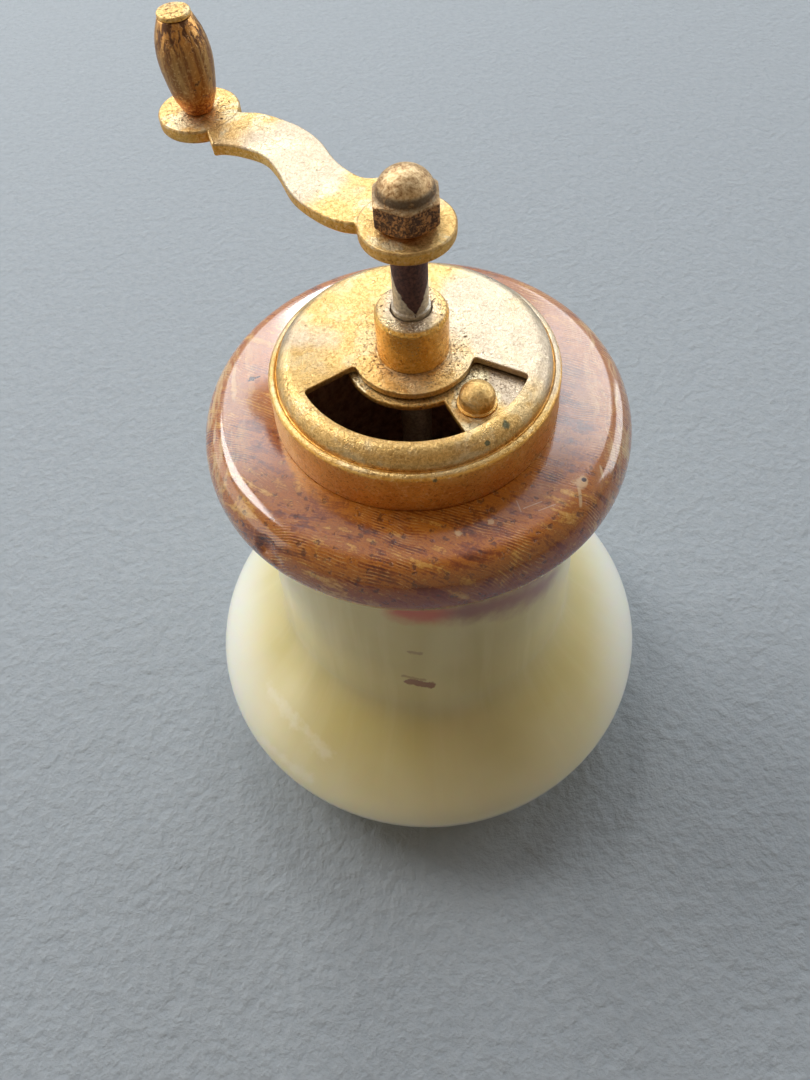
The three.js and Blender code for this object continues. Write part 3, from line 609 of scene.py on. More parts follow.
def polish(s, roughness, coat, coat_roughness, coat_ior=1.5):
    """The gloss of a polished stone."""
    s.put(s.surface.inputs["Roughness"], roughness)
    s.surface.inputs["Coat Weight"].default_value = coat
    s.surface.inputs["Coat Roughness"].default_value = coat_roughness
    s.surface.inputs["Coat IOR"].default_value = coat_ior


# Marks in the stones, at their places in the photograph. A streak has two ends and a half width, a spot
# has a centre and a radius, and both may add softness, raggedness and the size of the ragged pattern.
VEIN_RISES = (0.0, 4.5)
VEIN_PARTS = [((-3.5, -27.4, 75.4), (2.5, -27.6, 73.9), 4.8, 2.0),
              ((2.5, -27.6, 74.2), (13.0, -24.6, 72.0), 5.6, 2.4),
              ((13.0, -24.6, 71.6), (20.5, -20.0, 67.6), 6.4, 2.6)]
VEIN = [((*start[:2], start[2] + rise), (*end[:2], end[2] + rise), width, 0.98, ragged, 3.6)
        for rise in VEIN_RISES for start, end, width, ragged in VEIN_PARTS]
FLECK = ((-3.4, -28.5, 50.0), (0.1, -28.7, 48.6), 1.3, 0.3, 1.0, 1.4)
FAINT_FLECKS = [((-4.6, -28.2, 52.2), (-1.0, -28.5, 51.0), 0.6, 0.6, 0.9, 1.0),
                ((-3.0, -28.0, 61.6), (-1.4, -28.1, 61.2), 0.7, 0.6, 0.8, 1.0)]
# Two pale streaks low on the left front of the belly: painted highlights.
PAINTED_HIGHLIGHT_STREAKS = [((-33.4, -19.7, 27.7), (-21.7, -33.2, 27.0), 2.2, 0.9, 2.4, 2.2),
           ((-36.0, -27.9, 20.6), (-25.4, -37.0, 21.4), 1.8, 0.9, 2.0, 2.2)]
CREAM_SPOTS = [((22.5, -18.0, 93.9), 1.3, 0.45, 1.0, 1.1), ((4.8, -25.4, 93.9), 0.55, 0.6, 0.5, 0.6),
               ((-12.5, -27.0, 92.9), 0.6, 0.4, 0.4, 0.6), ((9.3, -23.8, 93.9), 0.5, 0.4, 0.4, 0.6)]
CREAM_STREAKS = [((22.0, -19.0, 93.8), (22.0, -21.6, 93.4), 0.35),
                 ((25.5, -15.2, 93.6), (25.9, -17.6, 93.3), 0.3)]
SCRATCHES = [((14.0, -21.9, 93.9), (16.6, -20.9, 93.9), 0.12),
             ((16.0, -22.4, 93.9), (18.4, -21.5, 93.9), 0.1),
             ((13.2, -20.6, 93.9), (13.6, -22.4, 93.9), 0.1)]
HOLE_SPOTS = [((22.9, -17.6, 93.9), 0.42, 0.3), ((-25.3, 5.0, 93.9), 0.5, 0.4, 0.4, 0.5)]
HOLE_STREAKS = [((-25.8, 4.6, 93.9), (-24.2, 5.4, 93.9), 0.22)]
GREEN_SPOTS = [((11.64, -14.51, 102.92), 0.75), ((9.07, -17.0, 102.44), 0.5), ((1.99, -21.03, 100.33), 0.4)]


def pale_ground(s):
    """Pale green and cream, in clouds and soft upright bands, with painted light paler towards the foot, a
    painted sheen at the sides and painted warm shade from the waist up.
    """
    cloud = s.noise(20, 2, 0.4, 0.3, shift=6.0)
    upright = s.vector("MULTIPLY", s.vector("NORMALIZE", s.combine(s.x, s.y, 0.0)), (28, 28, 28))
    upright = s.vector("ADD", upright, s.combine(0.0, 0.0, s.times(s.z, 0.07)))
    thread = s.noise(2.6, 4, 0.55, place=upright)
    band = s.noise(13, 2, 0.4, 0.2, place=upright, shift=3.0)
    band = s.blend(s.step(s.z, 22, 46, 0.5, 1.0), 0.5, band)
    tone = s.ramp(band, [(0.3, rgb(224, 208, 138)), (0.45, rgb(232, 219, 156)), (0.55, rgb(220, 206, 136)),
                         (0.68, rgb(238, 227, 168))], True)
    # Painted light: the stone turns paler towards the foot, standing in for the glow along the belly's rim.
    hem = s.plus(s.z, s.times(s.noise(16, 2), 8))
    tone = s.layers(tone, (s.step(cloud, 0.5, 0.75, 0.0, 0.35), rgb(240, 232, 188)),
                    (s.step(cloud, 0.46, 0.25, 0.0, 0.3), rgb(208, 190, 112)),
                    (s.step(thread, 0.46, 0.7, 0.0, s.step(s.z, 24, 48, 0.16, 0.3)), rgb(244, 234, 186)),
                    (s.step(hem, 38, 16, 0.0, 0.85), rgb(244, 240, 214)),
                    # Painted sheen: the stone turns near white towards its left and right sides.
                    (s.step(s.math("ABSOLUTE", s.x), 31, 45, 0.0, 0.75), rgb(246, 248, 240)))
    # Painted warm shade: from the waist up the colour is multiplied darker and warmer.
    return s.mix(s.step(s.z, 24, 44), tone, s.mix(1.0, tone, (1.0, 0.95, 0.82), "MULTIPLY"))


def pale_onyx():
    """Polished pale onyx, with a red vein under the flange, brown flecks and two painted highlight streaks
    low on the left front.
    """
    s = Shader("pale_onyx")
    vein = s.times(s.marks(VEIN), s.step(s.x, -1, 10, 0.92, 0.85))
    red = s.mix(s.step(s.x, 0.5, 6.0), rgb(218, 88, 46), rgb(156, 70, 64))
    flecks = s.either(s.marks([FLECK]), s.times(s.marks(FAINT_FLECKS), 0.5))
    s.set(base_color=s.layers(pale_ground(s), (vein, red), (flecks, rgb(150, 84, 32)),
                              # The two painted highlight streaks.
                              (s.times(s.marks(PAINTED_HIGHLIGHT_STREAKS), 0.4), rgb(252, 246, 226))))
    polish(s, roughness=0.32, coat=0.75, coat_roughness=0.2)
    s.surface.inputs["Sheen Weight"].default_value = 0.12
    s.surface.inputs["Sheen Roughness"].default_value = 0.4
    s.surface.inputs["Sheen Tint"].default_value = (0.92, 0.97, 1.0, 1)
    s.surface.inputs["Subsurface Weight"].default_value = 0.6
    s.surface.inputs["Subsurface Radius"].default_value = (1.0, 0.7, 0.35)
    s.surface.inputs["Subsurface Scale"].default_value = 9 * MM
    height = s.plus(s.noise(11, 1, 0.4, shift=8.0), s.times(flecks, -0.15))
    s.set(normal=s.bump(height, 0.08))
    return s.material


def brown_onyx():
    """Polished brown onyx: fine slanting layers, mauve clouds, and dark red pitted stone low in front."""
    s = Shader("brown_onyx")
    across = s.vector("DOT_PRODUCT", s.warped(14, 2.4, 2), (0.36, 0.86, 0.36))
    fine = s.math("SINE", s.times(across, 15))
    lined = s.step(s.noise(8, 4, 0.6, shift=5.0), 0.44, 0.58)
    layers = s.noise(1.5, 6, 0.7, place=s.combine(across, s.times(s.x, 0.1), s.times(s.z, 0.1)))
    grit = s.noise(0.6, 5, 0.75, 0.3, shift=4.0)
    cloud = s.noise(6.5, 5, 0.65, 0.6, shift=1.0)
    value = s.plus(s.times(layers, 0.42), s.times(cloud, 0.38), s.times(grit, 0.2),
                   s.times(fine, lined, 0.026))
    tone = s.ramp(value, [(0.4, rgb(100, 42, 8)), (0.46, rgb(154, 76, 16)), (0.5, rgb(194, 116, 30)),
                          (0.53, rgb(164, 86, 20)), (0.57, rgb(212, 148, 60)), (0.64, rgb(240, 198, 122))])
    pits = brown_pits(s)
    hole = s.marks(HOLE_STREAKS, HOLE_SPOTS)
    tone = s.layers(tone, (brown_clouds(s), rgb(178, 124, 84)),
                    (brown_hair(s, fine, lined), rgb(236, 188, 120)),
                    (brown_underside(s, cloud, layers), rgb(148, 50, 12)),
                    (brown_straw(s), rgb(240, 208, 150)),
                    (s.times(pits, 0.65), rgb(70, 18, 6)),
                    (s.step(grit, 0.6, 0.72, 0.0, 0.5), rgb(236, 190, 134)),
                    (s.times(s.marks(CREAM_STREAKS, CREAM_SPOTS), 0.7), rgb(232, 196, 148)),
                    (s.times(s.marks(SCRATCHES), 0.4), rgb(244, 226, 204)),
                    (hole, rgb(62, 26, 16)))
    s.set(base_color=tone)
    polish(s, roughness=s.step(layers, 0.4, 0.6, 0.2, 0.42), coat=1.0, coat_roughness=0.13, coat_ior=1.75)
    s.surface.inputs["Specular IOR Level"].default_value = 0.2
    height = s.plus(s.times(fine, lined, 0.25), s.times(grit, 0.6), layers)
    s.set(normal=s.bump(s.minus(height, s.either(pits, hole)), 0.075))
    return s.material


def brown_clouds(s):
    """Mauve clouds, more of them towards the back."""
    behind = s.step(s.plus(s.y, s.times(s.x, 0.25)), -16, 10, 0.0, 0.22)
    return s.times(s.step(s.plus(s.noise(12, 4, 0.6, 0.4, shift=11.0), behind), 0.58, 0.74), 0.4)


def brown_hair(s, fine, lined):
    """Broken pale hair lines along the layers."""
    broken = s.step(s.noise(1.1, 4, 0.65, shift=13.0), 0.42, 0.6)
    return s.times(s.step(fine, 0.4, 1.0, 0.0, 0.55), lined, broken)


def brown_underside(s, cloud, layers):
    """The low front of the flange, down to its lower edge."""
    low = bottom_of("stone_flange") / MM
    return s.times(s.step(s.plus(s.z, s.times(cloud, 10)), low + 12.5, low + 9.0), s.step(s.y, -16, -26),
                   s.step(s.x, -18, -8), s.step(layers, 0.6, 0.46, 0.4, 0.85))


def brown_straw(s):
    """Straw-coloured streaks at the sides."""
    straw = s.noise(1.3, 5, 0.65, place=s.vector("MULTIPLY", s.warped(8, 1.5, 2), (1, 0.12, 0.5)), shift=17.0)
    return s.times(s.step(straw, 0.46, 0.6), s.step(s.math("ABSOLUTE", s.x), 23, 31), 0.6)


def brown_pits(s):
    """Small dark pits, most of them in front."""
    return s.times(s.step(s.cells(1.5, place=s.warped(1.0, 0.7, 3)), 0.36, 0.2),
                   s.step(s.noise(1.0, 4, 0.7, shift=8.0), 0.45, 0.55), s.step(s.y, 5, -22, 0.15, 1.0))


def plain_metal(name, dark, light, roughness, size=1.5, depth=0.02, metallic=1.0):
    s = Shader(name)
    tone = s.noise(size, 5, 0.65)
    s.set(base_color=s.mix(s.step(tone, 0.3, 0.7), dark, light), metallic=metallic,
          roughness=s.step(tone, 0.3, 0.7, roughness + 0.12, roughness - 0.06),
          normal=s.bump(s.noise(size / 5, 4, 0.6), depth))
    return s.material


# Sizes of the pieces, with the films of air, steps and bezier handles that they are made with

FILM = 0.05 * MM
BORE = 20.5 * MM
FOOT = 36.5 * MM
RECESS = 27.5 * MM
RECESS_HEIGHT = 11.0 * MM
EQUATOR_HEIGHT = 18.5 * MM
NECK_FOOT = 29.1 * MM
NECK_FOOT_HEIGHT = 41.0 * MM
NECK_TOP = 27.0 * MM
NECK_STEPS = 12
BELLY_HANDLES = (0.55, 0.75)
FLARE_HANDLES = (0.19, 0.32)
FLANGE_RIM_SHARE = 0.36
FLANGE_LOW_ROUND = 2.6 * MM
FLANGE_HIGH_ROUND = 4.4 * MM
SKIRT_TOP = 21.26 * MM
SKIRT_ROUND = 0.75 * MM
RIDGE = 20.43 * MM
GROOVE_INSIDE = 19.97 * MM
GROOVE_DEPTH = 0.35 * MM
SHOULDER_TOP = 17.47 * MM
CAP_STEPS = 240
PLATE = 1.0 * MM
CHAMBER = 18.7 * MM
LEDGE_DROP = 1.3 * MM
SHANK = 3.9 * MM
SHANK_HOLE = 4.2 * MM
BUSH_BORE = 2.85 * MM
COLLAR = 5.1 * MM
WINDOW_APEX = 2.3 * MM
WINDOW_TURN = radians(1.5)
WINDOW_HALF_ANGLE = radians(60)
WINDOW_INSIDE = 8.75 * MM
WINDOW_OUTSIDE = 16.9 * MM
WINDOW_CORNER = 0.8 * MM
SHUTTER_HUB = 9.75 * MM
SHUTTER_VANE = 18.2 * MM
VANE_FROM = radians(-66.5)
VANE_TO = radians(86)
SHUTTER_RIVET_HOLE = 1.4 * MM
PULL_RIM = 2.8 * MM
PULL_DOME = 2.5 * MM
PULL_FOOT = 1.25 * MM
PULL_SHANK = 1.1 * MM
PULL_PEEN = 1.8 * MM
ROD = 2.4 * MM
JOURNAL = 2.7 * MM
JOURNAL_BELOW = 1.5 * MM
JOURNAL_ABOVE = 0.65 * MM
OVERLAP = 1.0 * MM
HUB_DISC = 6.1 * MM
KNOB_DISC = 5.7 * MM
ARM_HALF_WIDTH = 5.8 * MM
SQUARE_SIDE = 3.264 * MM
SQUARE_ROUND = 0.25 * MM
THREAD = 1.534 * MM
THREAD_DEPTH = 0.25 * MM
THREAD_PITCH = 0.7 * MM
KNOB_BELLY = 3.6 * MM
KNOB_BORE = 1.5 * MM
RIVET_HEAD = 2.2 * MM
RIVET_SHANK = 1.2 * MM
RIVET_PEEN = 1.9 * MM
NUT_ACROSS = 7.8 * MM
NUT_FOOT = 0.5 * MM
NUT_SIDES = 3.5 * MM
NUT_CHAMFER = 0.42 * MM
NUT_STEPS = 192
SPRING_WIRE = 0.9 * MM
SPRING_TURNS = 6
SPRING_STEPS = 36
WIRE_SIDES = 12
SPRING_END_RISE = 0.97 * MM

# The crank's edges, as shares of its length and of the arm's half width, and the knob's outline
NEAR_EDGE = [(0.863, -0.56), (0.8, -0.82), (0.71, -0.96), (0.62, -1.01), (0.518, -0.9), (0.4, -0.6),
             (0.302, -0.5), (0.25, -0.58), (0.207, -0.88)]
FAR_EDGE = [(0.104, 0.664), (0.17, 0.89), (0.265, 0.966), (0.386, 0.86), (0.523, 0.455), (0.618, 0.293),
            (0.708, 0.417), (0.765, 0.59), (0.795, 0.769)]
KNOB_OUTLINE = [(0.55, 0), (0.68, 0.08), (0.83, 0.2), (0.95, 0.4), (1, 0.56), (0.97, 0.7), (0.86, 0.84),
                (0.63, 1)]
# The place, the radius and the depth of each chip in the flange
CHIPS = [((-22.1 * MM, -24.1 * MM, 90.6 * MM), 1.9 * MM, 0.75 * MM),
         ((-20.4 * MM, -25.4 * MM, 89.6 * MM), 1.2 * MM, 0.4 * MM)]


# Pieces

def stone_body():
    height = top_of("stone_body")
    equator = radius_of("stone_body")
    slope = (NECK_FOOT - NECK_TOP) / (height - NECK_FOOT_HEIGHT)
    flare_height = NECK_FOOT_HEIGHT - EQUATOR_HEIGHT
    handle = FLARE_HANDLES[1] * flare_height
    belly = bezier((FOOT, 0), (FOOT + BELLY_HANDLES[0] * (equator - FOOT), 0),
                   (equator, BELLY_HANDLES[1] * EQUATOR_HEIGHT), (equator, EQUATOR_HEIGHT), 28)
    flare = bezier((equator, EQUATOR_HEIGHT), (equator, EQUATOR_HEIGHT + FLARE_HANDLES[0] * flare_height),
                   (NECK_FOOT + slope * handle, NECK_FOOT_HEIGHT - handle), (NECK_FOOT, NECK_FOOT_HEIGHT), 36)
    neck = [Vector((NECK_FOOT + (NECK_TOP - NECK_FOOT) * step / NECK_STEPS,
                    NECK_FOOT_HEIGHT + (height - NECK_FOOT_HEIGHT) * step / NECK_STEPS))
            for step in range(1, NECK_STEPS)]
    inside = rounded([neck[-1], (NECK_TOP, height, 0.5 * MM), (BORE, height, 0.3 * MM),
                      (BORE, RECESS_HEIGHT, 0.3 * MM), (RECESS, RECESS_HEIGHT, 0.4 * MM),
                      (RECESS, 0, 0.5 * MM), (FOOT, 0)])
    return turned("onyx_body", belly + flare[1:] + neck[:-1] + inside[:-1], 288, True)


def chipped(point):
    """The point moved in where a chip is missing from the flange's rim."""
    for place, radius, depth in CHIPS:
        near = 1 - (point - Vector(place)).length_squared / radius ** 2
        if near > 0:
            point = point - Vector((point.x, point.y, 0)).normalized() * depth * near
    return point


def stone_flange():
    low, high = span("stone_flange")
    edge = radius_of("stone_flange")
    rim = low + (high - low) * FLANGE_RIM_SHARE
    outside = arc((edge - FLANGE_LOW_ROUND, rim), FLANGE_LOW_ROUND, rim - low, -QUARTER, 0, 20)
    outside += arc((edge - FLANGE_HIGH_ROUND, rim), FLANGE_HIGH_ROUND, high - rim, 0, QUARTER, 28)[1:]
    across = [Vector((BORE + (outside[-1].x - BORE) * share, high)) for share in (0.97, 0.7, 0.35)]
    inside = rounded([across[-1], (BORE, high, 0.2 * MM), (BORE, low, 0.2 * MM), outside[0]])
    return turned("onyx_flange", outside + across + inside[1:-1], 432, True, chipped)


def window_outline():
    """The fan-shaped window, anticlockwise."""
    half = WINDOW_HALF_ANGLE

    def corner(radius, side):
        reach = WINDOW_APEX * cos(half) + sqrt(radius ** 2 - (WINDOW_APEX * sin(half)) ** 2)
        return Matrix.Rotation(WINDOW_TURN, 2) @ Vector((side * reach * sin(half),
                                                         WINDOW_APEX - reach * cos(half)))

    def along(radius, start, end, steps):
        a, b = atan2(start.y, start.x), atan2(end.y, end.x)
        return arc((0, 0), radius, radius, a, b, steps)[2:-2]

    def turn(before, at, after):
        return rounded([before, (*at, WINDOW_CORNER), after], steps=6)[1:-1]

    outer_left, outer_right = corner(WINDOW_OUTSIDE, -1), corner(WINDOW_OUTSIDE, 1)
    inner_left, inner_right = corner(WINDOW_INSIDE, -1), corner(WINDOW_INSIDE, 1)
    outer = along(WINDOW_OUTSIDE, outer_left, outer_right, 48)
    inner = along(WINDOW_INSIDE, inner_right, inner_left, 26)
    line = outer + turn(outer[-1], outer_right, inner_right) + turn(outer_right, inner_right, inner[0])
    return line + inner + turn(inner[-1], inner_left, outer_left) + turn(inner_left, outer_left, outer[0])


def cap_outside(low):
    """The cap's outside, from its hem up over the skirt, ridge, groove and shoulder to the flat top."""
    skirt = radius_of("cap_shell")
    side = rounded([(BORE, low + 0.3 * MM), (BORE, low, 0.1 * MM), (skirt, low, 0.15 * MM),
                    (skirt, low + 0.8 * MM)], steps=3)[1:]
    side += [Vector((skirt + (SKIRT_TOP - skirt) * share, low + (lip - SKIRT_ROUND - low) * share))
             for share in (0.4, 0.7)]
    edge = arc((RIDGE, lip - SKIRT_ROUND), SKIRT_TOP - RIDGE, SKIRT_ROUND, 0, QUARTER, 10)
    foot = lip - GROOVE_DEPTH
    groove = rounded([(RIDGE - 0.02 * MM, lip), (RIDGE - 0.12 * MM, lip - 0.05 * MM, 0.1 * MM),
                      (GROOVE_INSIDE + 0.15 * MM, foot, 0.12 * MM),
                      (GROOVE_INSIDE - 0.02 * MM, foot + 0.15 * MM)], steps=4)
    shoulder = arc((SHOULDER_TOP, foot), GROOVE_INSIDE - SHOULDER_TOP, cap_top - foot, radians(4),
                   QUARTER, 22)
    return side + edge + groove + shoulder


def cap_shell():
    low = bottom_of("cap_shell")
    under = cap_top - PLATE
    ledge = lip - LEDGE_DROP
    inside = rounded([(CHAMBER - 0.55 * MM, under), (CHAMBER - 0.5 * MM, under), (CHAMBER, under - 0.5 * MM),
                      (CHAMBER, ledge), (BORE, ledge), (BORE, low + 0.3 * MM)])
    shell = Shell()
    rings = shell.rounds(cap_outside(low), CAP_STEPS)
    inner = shell.rounds(reversed(inside), CAP_STEPS)
    shell.stack([*reversed(rings), *inner])
    inner_end, = shell.rounds([(CHAMBER - 0.6 * MM, under)], CAP_STEPS)
    top_ring, = shell.rounds([(SHOULDER_TOP - 0.06 * MM, cap_top)], CAP_STEPS)
    shell.join(inner[-1], inner_end)
    shell.join(rings[-1], top_ring)
    window = edge_rings(shell, window_outline(), under, cap_top, 0.1 * MM, 0.16 * MM, -1)
    centre = edge_rings(shell, circle(SHANK_HOLE, 64), under, cap_top, 0.1 * MM, 0.1 * MM, -1)
    shell.fill(top_ring, window[1], centre[1])
    shell.fill(inner_end, window[0], centre[0])
    return mesh_object("cap", shell.points, shell.faces, 40)


def collar_bush():
    low, high = span("collar_bush")
    seat = cap_top + FILM
    washer = SHANK + 1 * MM
    profile = rounded([(BUSH_BORE, low, 0.1 * MM), (washer, low, 0.15 * MM),
                       (washer, low + 0.5 * MM, 0.15 * MM), (SHANK, low + 0.5 * MM),
                       (SHANK, seat), (COLLAR, seat, 0.12 * MM),
                       (COLLAR, high - 0.75 * MM, 0.25 * MM), (COLLAR - 0.42 * MM, high, 0.3 * MM),
                       (BUSH_BORE, high, 0.12 * MM)], closed=True)
    return turned("collar", profile, 128, True)


def shutter_plate():
    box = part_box("shutter_plate")
    vane = arc((0, 0), SHUTTER_VANE, SHUTTER_VANE, VANE_FROM, VANE_TO, 90)
    hub = arc((0, 0), SHUTTER_HUB, SHUTTER_HUB, VANE_TO, VANE_FROM + tau, 110)
    holes = [circle(SHANK_HOLE, 64), circle(SHUTTER_RIVET_HOLE, 32, shutter_knob_centre())]
    return plate("shutter", vane + hub, box[0].z, box[1].z, 0.2 * MM, 0.3 * MM, holes)


def shutter_knob_centre():
    low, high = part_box("shutter_knob")
    return ((low.x + high.x) / 2, (low.y + high.y) / 2)


def shutter_knob():
    low, high = span("shutter_knob")
    seat = top_of("shutter_plate") + FILM
    peen = bottom_of("shutter_plate") - FILM
    foot = seat + PULL_FOOT
    profile = rounded([(0, low), (PULL_PEEN, low, 0.15 * MM), (PULL_PEEN, peen, 0.1 * MM),
                       (PULL_SHANK, peen), (PULL_SHANK, seat), (PULL_RIM, seat, 0.1 * MM),
                       (PULL_RIM, seat + 0.25 * MM, 0.12 * MM),
                       (PULL_DOME - 0.05 * MM, seat + 0.32 * MM, 0.1 * MM), (PULL_DOME, foot)])
    profile += arc((0, foot), PULL_DOME, high - foot, 0, QUARTER, 20)[1:]
    profile[-1] = Vector((0, high))
    knob = turned("shutter_pull", profile, 96)
    knob.data.transform(Matrix.Translation((*shutter_knob_centre(), 0)))
    return knob


def square_ring(shell, height):
    half = SQUARE_SIDE / 2
    corners = [(half, half), (-half, half), (-half, -half), (half, -half)]
    return shell.ring(rounded([(*corner, SQUARE_ROUND) for corner in corners], closed=True, steps=4), height)


def spindle():
    """The rod, with square seats for the cone and the crank, and its threaded ends."""
    low, high = span("spindle")
    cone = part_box("cone_burr")
    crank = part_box("crank_arm")
    journal_low = bottom_of("collar_bush") - JOURNAL_BELOW
    journal_high = top_of("collar_bush") + JOURNAL_ABOVE
    rod_low = cone[1].z + FILM
    rod_high = crank[0].z - FILM
    parts = [turned("rod_foot", thread_profile(low, cone[0].z + OVERLAP), 48),
             turned("rod", rounded([(0, rod_low), (ROD, rod_low, 0.2 * MM), (ROD, journal_low),
                                    (JOURNAL, journal_low, 0.1 * MM), (JOURNAL, journal_high, 0.2 * MM),
                                    (ROD, journal_high + 0.1 * MM), (ROD, rod_high, 0.15 * MM),
                                    (0, rod_high)]), 96),
             turned("rod_head", thread_profile(crank[1].z - OVERLAP, high), 48)]
    squares = [(cone[0].z, cone[1].z + OVERLAP, 0), (crank[0].z - OVERLAP, crank[1].z, crank_angle)]
    for start, end, turn in squares:
        shell = Shell()
        rings = [square_ring(shell, height) for height in (start, end)]
        shell.stack(rings)
        shell.faces += [tuple(reversed(rings[0])), tuple(rings[1])]
        block = mesh_object("rod_square", shell.points, shell.faces)
        block.data.transform(Matrix.Rotation(turn, 4, "Z"))
        parts.append(block)
    return joined("rod_whole", parts)


def thread_profile(low, high):
    """The outline of a short threaded end: a row of ridges."""
    core = THREAD - THREAD_DEPTH
    end = core - 0.05 * MM
    line = [(0, low), (end, low)]
    height = low + 0.3 * MM
    while height + THREAD_PITCH < high:
        line += [(core, height), (THREAD, height + THREAD_PITCH / 2)]
        height += THREAD_PITCH
    return line + [(end, high), (0, high)]


def joined(name, parts):
    """One piece with the meshes of all the parts, which are removed."""
    mesh = bpy.data.meshes.new(name)
    bm = bmesh.new()
    for part in parts:
        bm.from_mesh(part.data)
        old = part.data
        bpy.data.objects.remove(part)
        bpy.data.meshes.remove(old)
    bm.to_mesh(mesh)
    bm.free()
    return shown(name, mesh)


def crank_outline():
    """Hub disc, wavy arm and knob disc in one outline, anticlockwise, with the crank along +X."""
    near, far = [spline([(along * crank_length, aside * ARM_HALF_WIDTH) for along, aside in edge], 8)
                 for edge in (NEAR_EDGE, FAR_EDGE)]
    end = Vector((crank_length, 0))
    far = [point for point in far if point.length > HUB_DISC * 1.02]
    near_foot = near[-1].normalized() * HUB_DISC
    near_head = end + (near[0] - end).normalized() * KNOB_DISC
    far_head = end + (far[-1] - end).normalized() * KNOB_DISC

    def around(centre, radius, start, stop):
        a = atan2(start.y - centre.y, start.x - centre.x)
        b = atan2(stop.y - centre.y, stop.x - centre.x)
        return arc(centre, radius, radius, a, b + tau if b < a else b, 72)

    hub = around(Vector((0, 0)), HUB_DISC, far[0], near_foot)
    disc = around(end, KNOB_DISC, near_head, far_head)
    near.reverse()
    far.reverse()
    return rounded([*hub[1:], (*near[0], 0.35 * MM), *near[1:-1], (*near[-1], 0.3 * MM), *disc,
                    (*far[0], 0.35 * MM), *far[1:]], closed=True, steps=4)


def crank_arm():
    low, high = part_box("crank_arm")
    half = SQUARE_SIDE / 2 + 0.3 * MM
    square = [Vector(corner) for corner in ((half, half), (-half, half), (-half, -half), (half, -half))]
    rivet = circle(KNOB_BORE, 32, (crank_length, 0))
    arm = plate("crank", crank_outline(), low.z, high.z, 0.42 * MM, 0.3 * MM, [square, rivet])
    arm.data.transform(Matrix.Rotation(crank_angle, 4, "Z"))
    return arm


def move_to_knob(piece):
    piece.data.transform(Matrix.Translation((*knob_axis, 0)))
    return piece


def crank_knob():
    low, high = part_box("crank_knob")
    tall = high.z - low.z
    outline = spline([(radius * KNOB_BELLY, low.z + share * tall) for radius, share in KNOB_OUTLINE], 6)
    profile = rounded([(KNOB_BORE, low.z), (*outline[0], 0.1 * MM), outline[1]], steps=3)
    profile += outline[2:-2]
    profile += rounded([outline[-2], (*outline[-1], 0.25 * MM), (KNOB_BORE, high.z)])
    return move_to_knob(turned("knob", profile, 96, True))


def knob_rivet():
    low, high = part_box("knob_rivet")
    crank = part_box("crank_arm")
    head = top_of("crank_knob") + FILM
    foot = crank[0].z - FILM
    profile = rounded([(0, low.z), (RIVET_PEEN, low.z, 0.25 * MM), (RIVET_PEEN, foot, 0.1 * MM),
                       (RIVET_SHANK, foot), (RIVET_SHANK, head), (RIVET_HEAD, head, 0.1 * MM),
                       (RIVET_HEAD, high.z, 0.3 * MM), (1 * MM, high.z), (0, high.z)])
    return move_to_knob(turned("knob_pin", profile, 64))


def thrust_spring():
    """A coil whose first and last turns lie close."""
    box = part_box("thrust_spring")
    low, high = box[0].z, box[1].z
    reach = box[1].x - SPRING_WIRE / 2
    middle = (high - low - SPRING_WIRE - 2 * SPRING_END_RISE) / (SPRING_TURNS - 2)
    shell = Shell()
    rings = []
    for step in range(SPRING_TURNS * SPRING_STEPS + 1):
        turns = step / SPRING_STEPS
        inner = min(max(turns - 1, 0), SPRING_TURNS - 2)
        height = low + SPRING_WIRE / 2 + (turns - inner) * SPRING_END_RISE + inner * middle
        out = Vector((cos(tau * turns), sin(tau * turns), 0))
        start = len(shell.points)
        for side in range(WIRE_SIDES):
            angle = tau * side / WIRE_SIDES
            offset = out * cos(angle) + Vector((0, 0, sin(angle)))
            shell.points.append(out * reach + Vector((0, 0, height)) + offset * SPRING_WIRE / 2)
        rings.append(list(range(start, len(shell.points))))
    shell.stack(rings)
    shell.faces += [tuple(rings[0]), tuple(reversed(rings[-1]))]
    spring = mesh_object("spring", shell.points, shell.faces)
    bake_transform(spring)
    return spring


def hexagon(height, low, high):
    """The nut's outline at a height, with its corners cut by the chamfers at both ends of its sides."""
    face = NUT_ACROSS / 2
    corner = NUT_ACROSS / sqrt(3)
    share = min(height - low, high - height) / NUT_CHAMFER
    limit = face - 0.04 * MM + (corner - face) * min(1.0, max(0.0, share))
    outline = []
    for step in range(NUT_STEPS):
        angle = tau * step / NUT_STEPS
        off = (degrees(angle) + 30) % 60 - 30
        side = face / cos(radians(off))
        outline.append(Vector((cos(angle), sin(angle))) * min(side, limit, corner - 0.1 * MM))
    return outline


def acorn_nut():
    """Washer face, chamfered hexagon and dome, made as rings whose radius follows the hexagon."""
    low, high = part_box("acorn_nut")
    hex_low = low.z + NUT_FOOT
    hex_high = hex_low + NUT_SIDES
    bore = THREAD + 0.3 * MM
    bore_top = low.z + 5 * MM
    flat = NUT_ACROSS / 2 - 0.5 * MM
    dome = NUT_ACROSS / 2 - 0.35 * MM
    eighths = [share / 8 for share in range(9)]
    heights = [hex_low + NUT_CHAMFER * share for share in eighths]
    heights += [hex_low + NUT_SIDES * share for share in (0.3, 0.5, 0.7)]
    heights += [hex_high - NUT_CHAMFER * (1 - share) for share in eighths]
    shell = Shell()
    washer = rounded([(bore, low.z), (flat, low.z, 0.08 * MM), (flat, hex_low)])
    foot = [(0, bore_top), (bore, bore_top), *washer]
    top = arc((0, hex_high), dome, high.z - hex_high, radians(3), QUARTER, 24)
    top = [(dome + 0.12 * MM, hex_high + 0.02 * MM), *top[:-1], (0, high.z)]
    sides = [shell.ring(hexagon(height, hex_low, hex_high), height) for height in heights]
    shell.stack([*shell.rounds(foot, NUT_STEPS), *sides, *shell.rounds(top, NUT_STEPS)])
    return mesh_object("nut", shell.points, shell.faces, 24)


# The dressed model

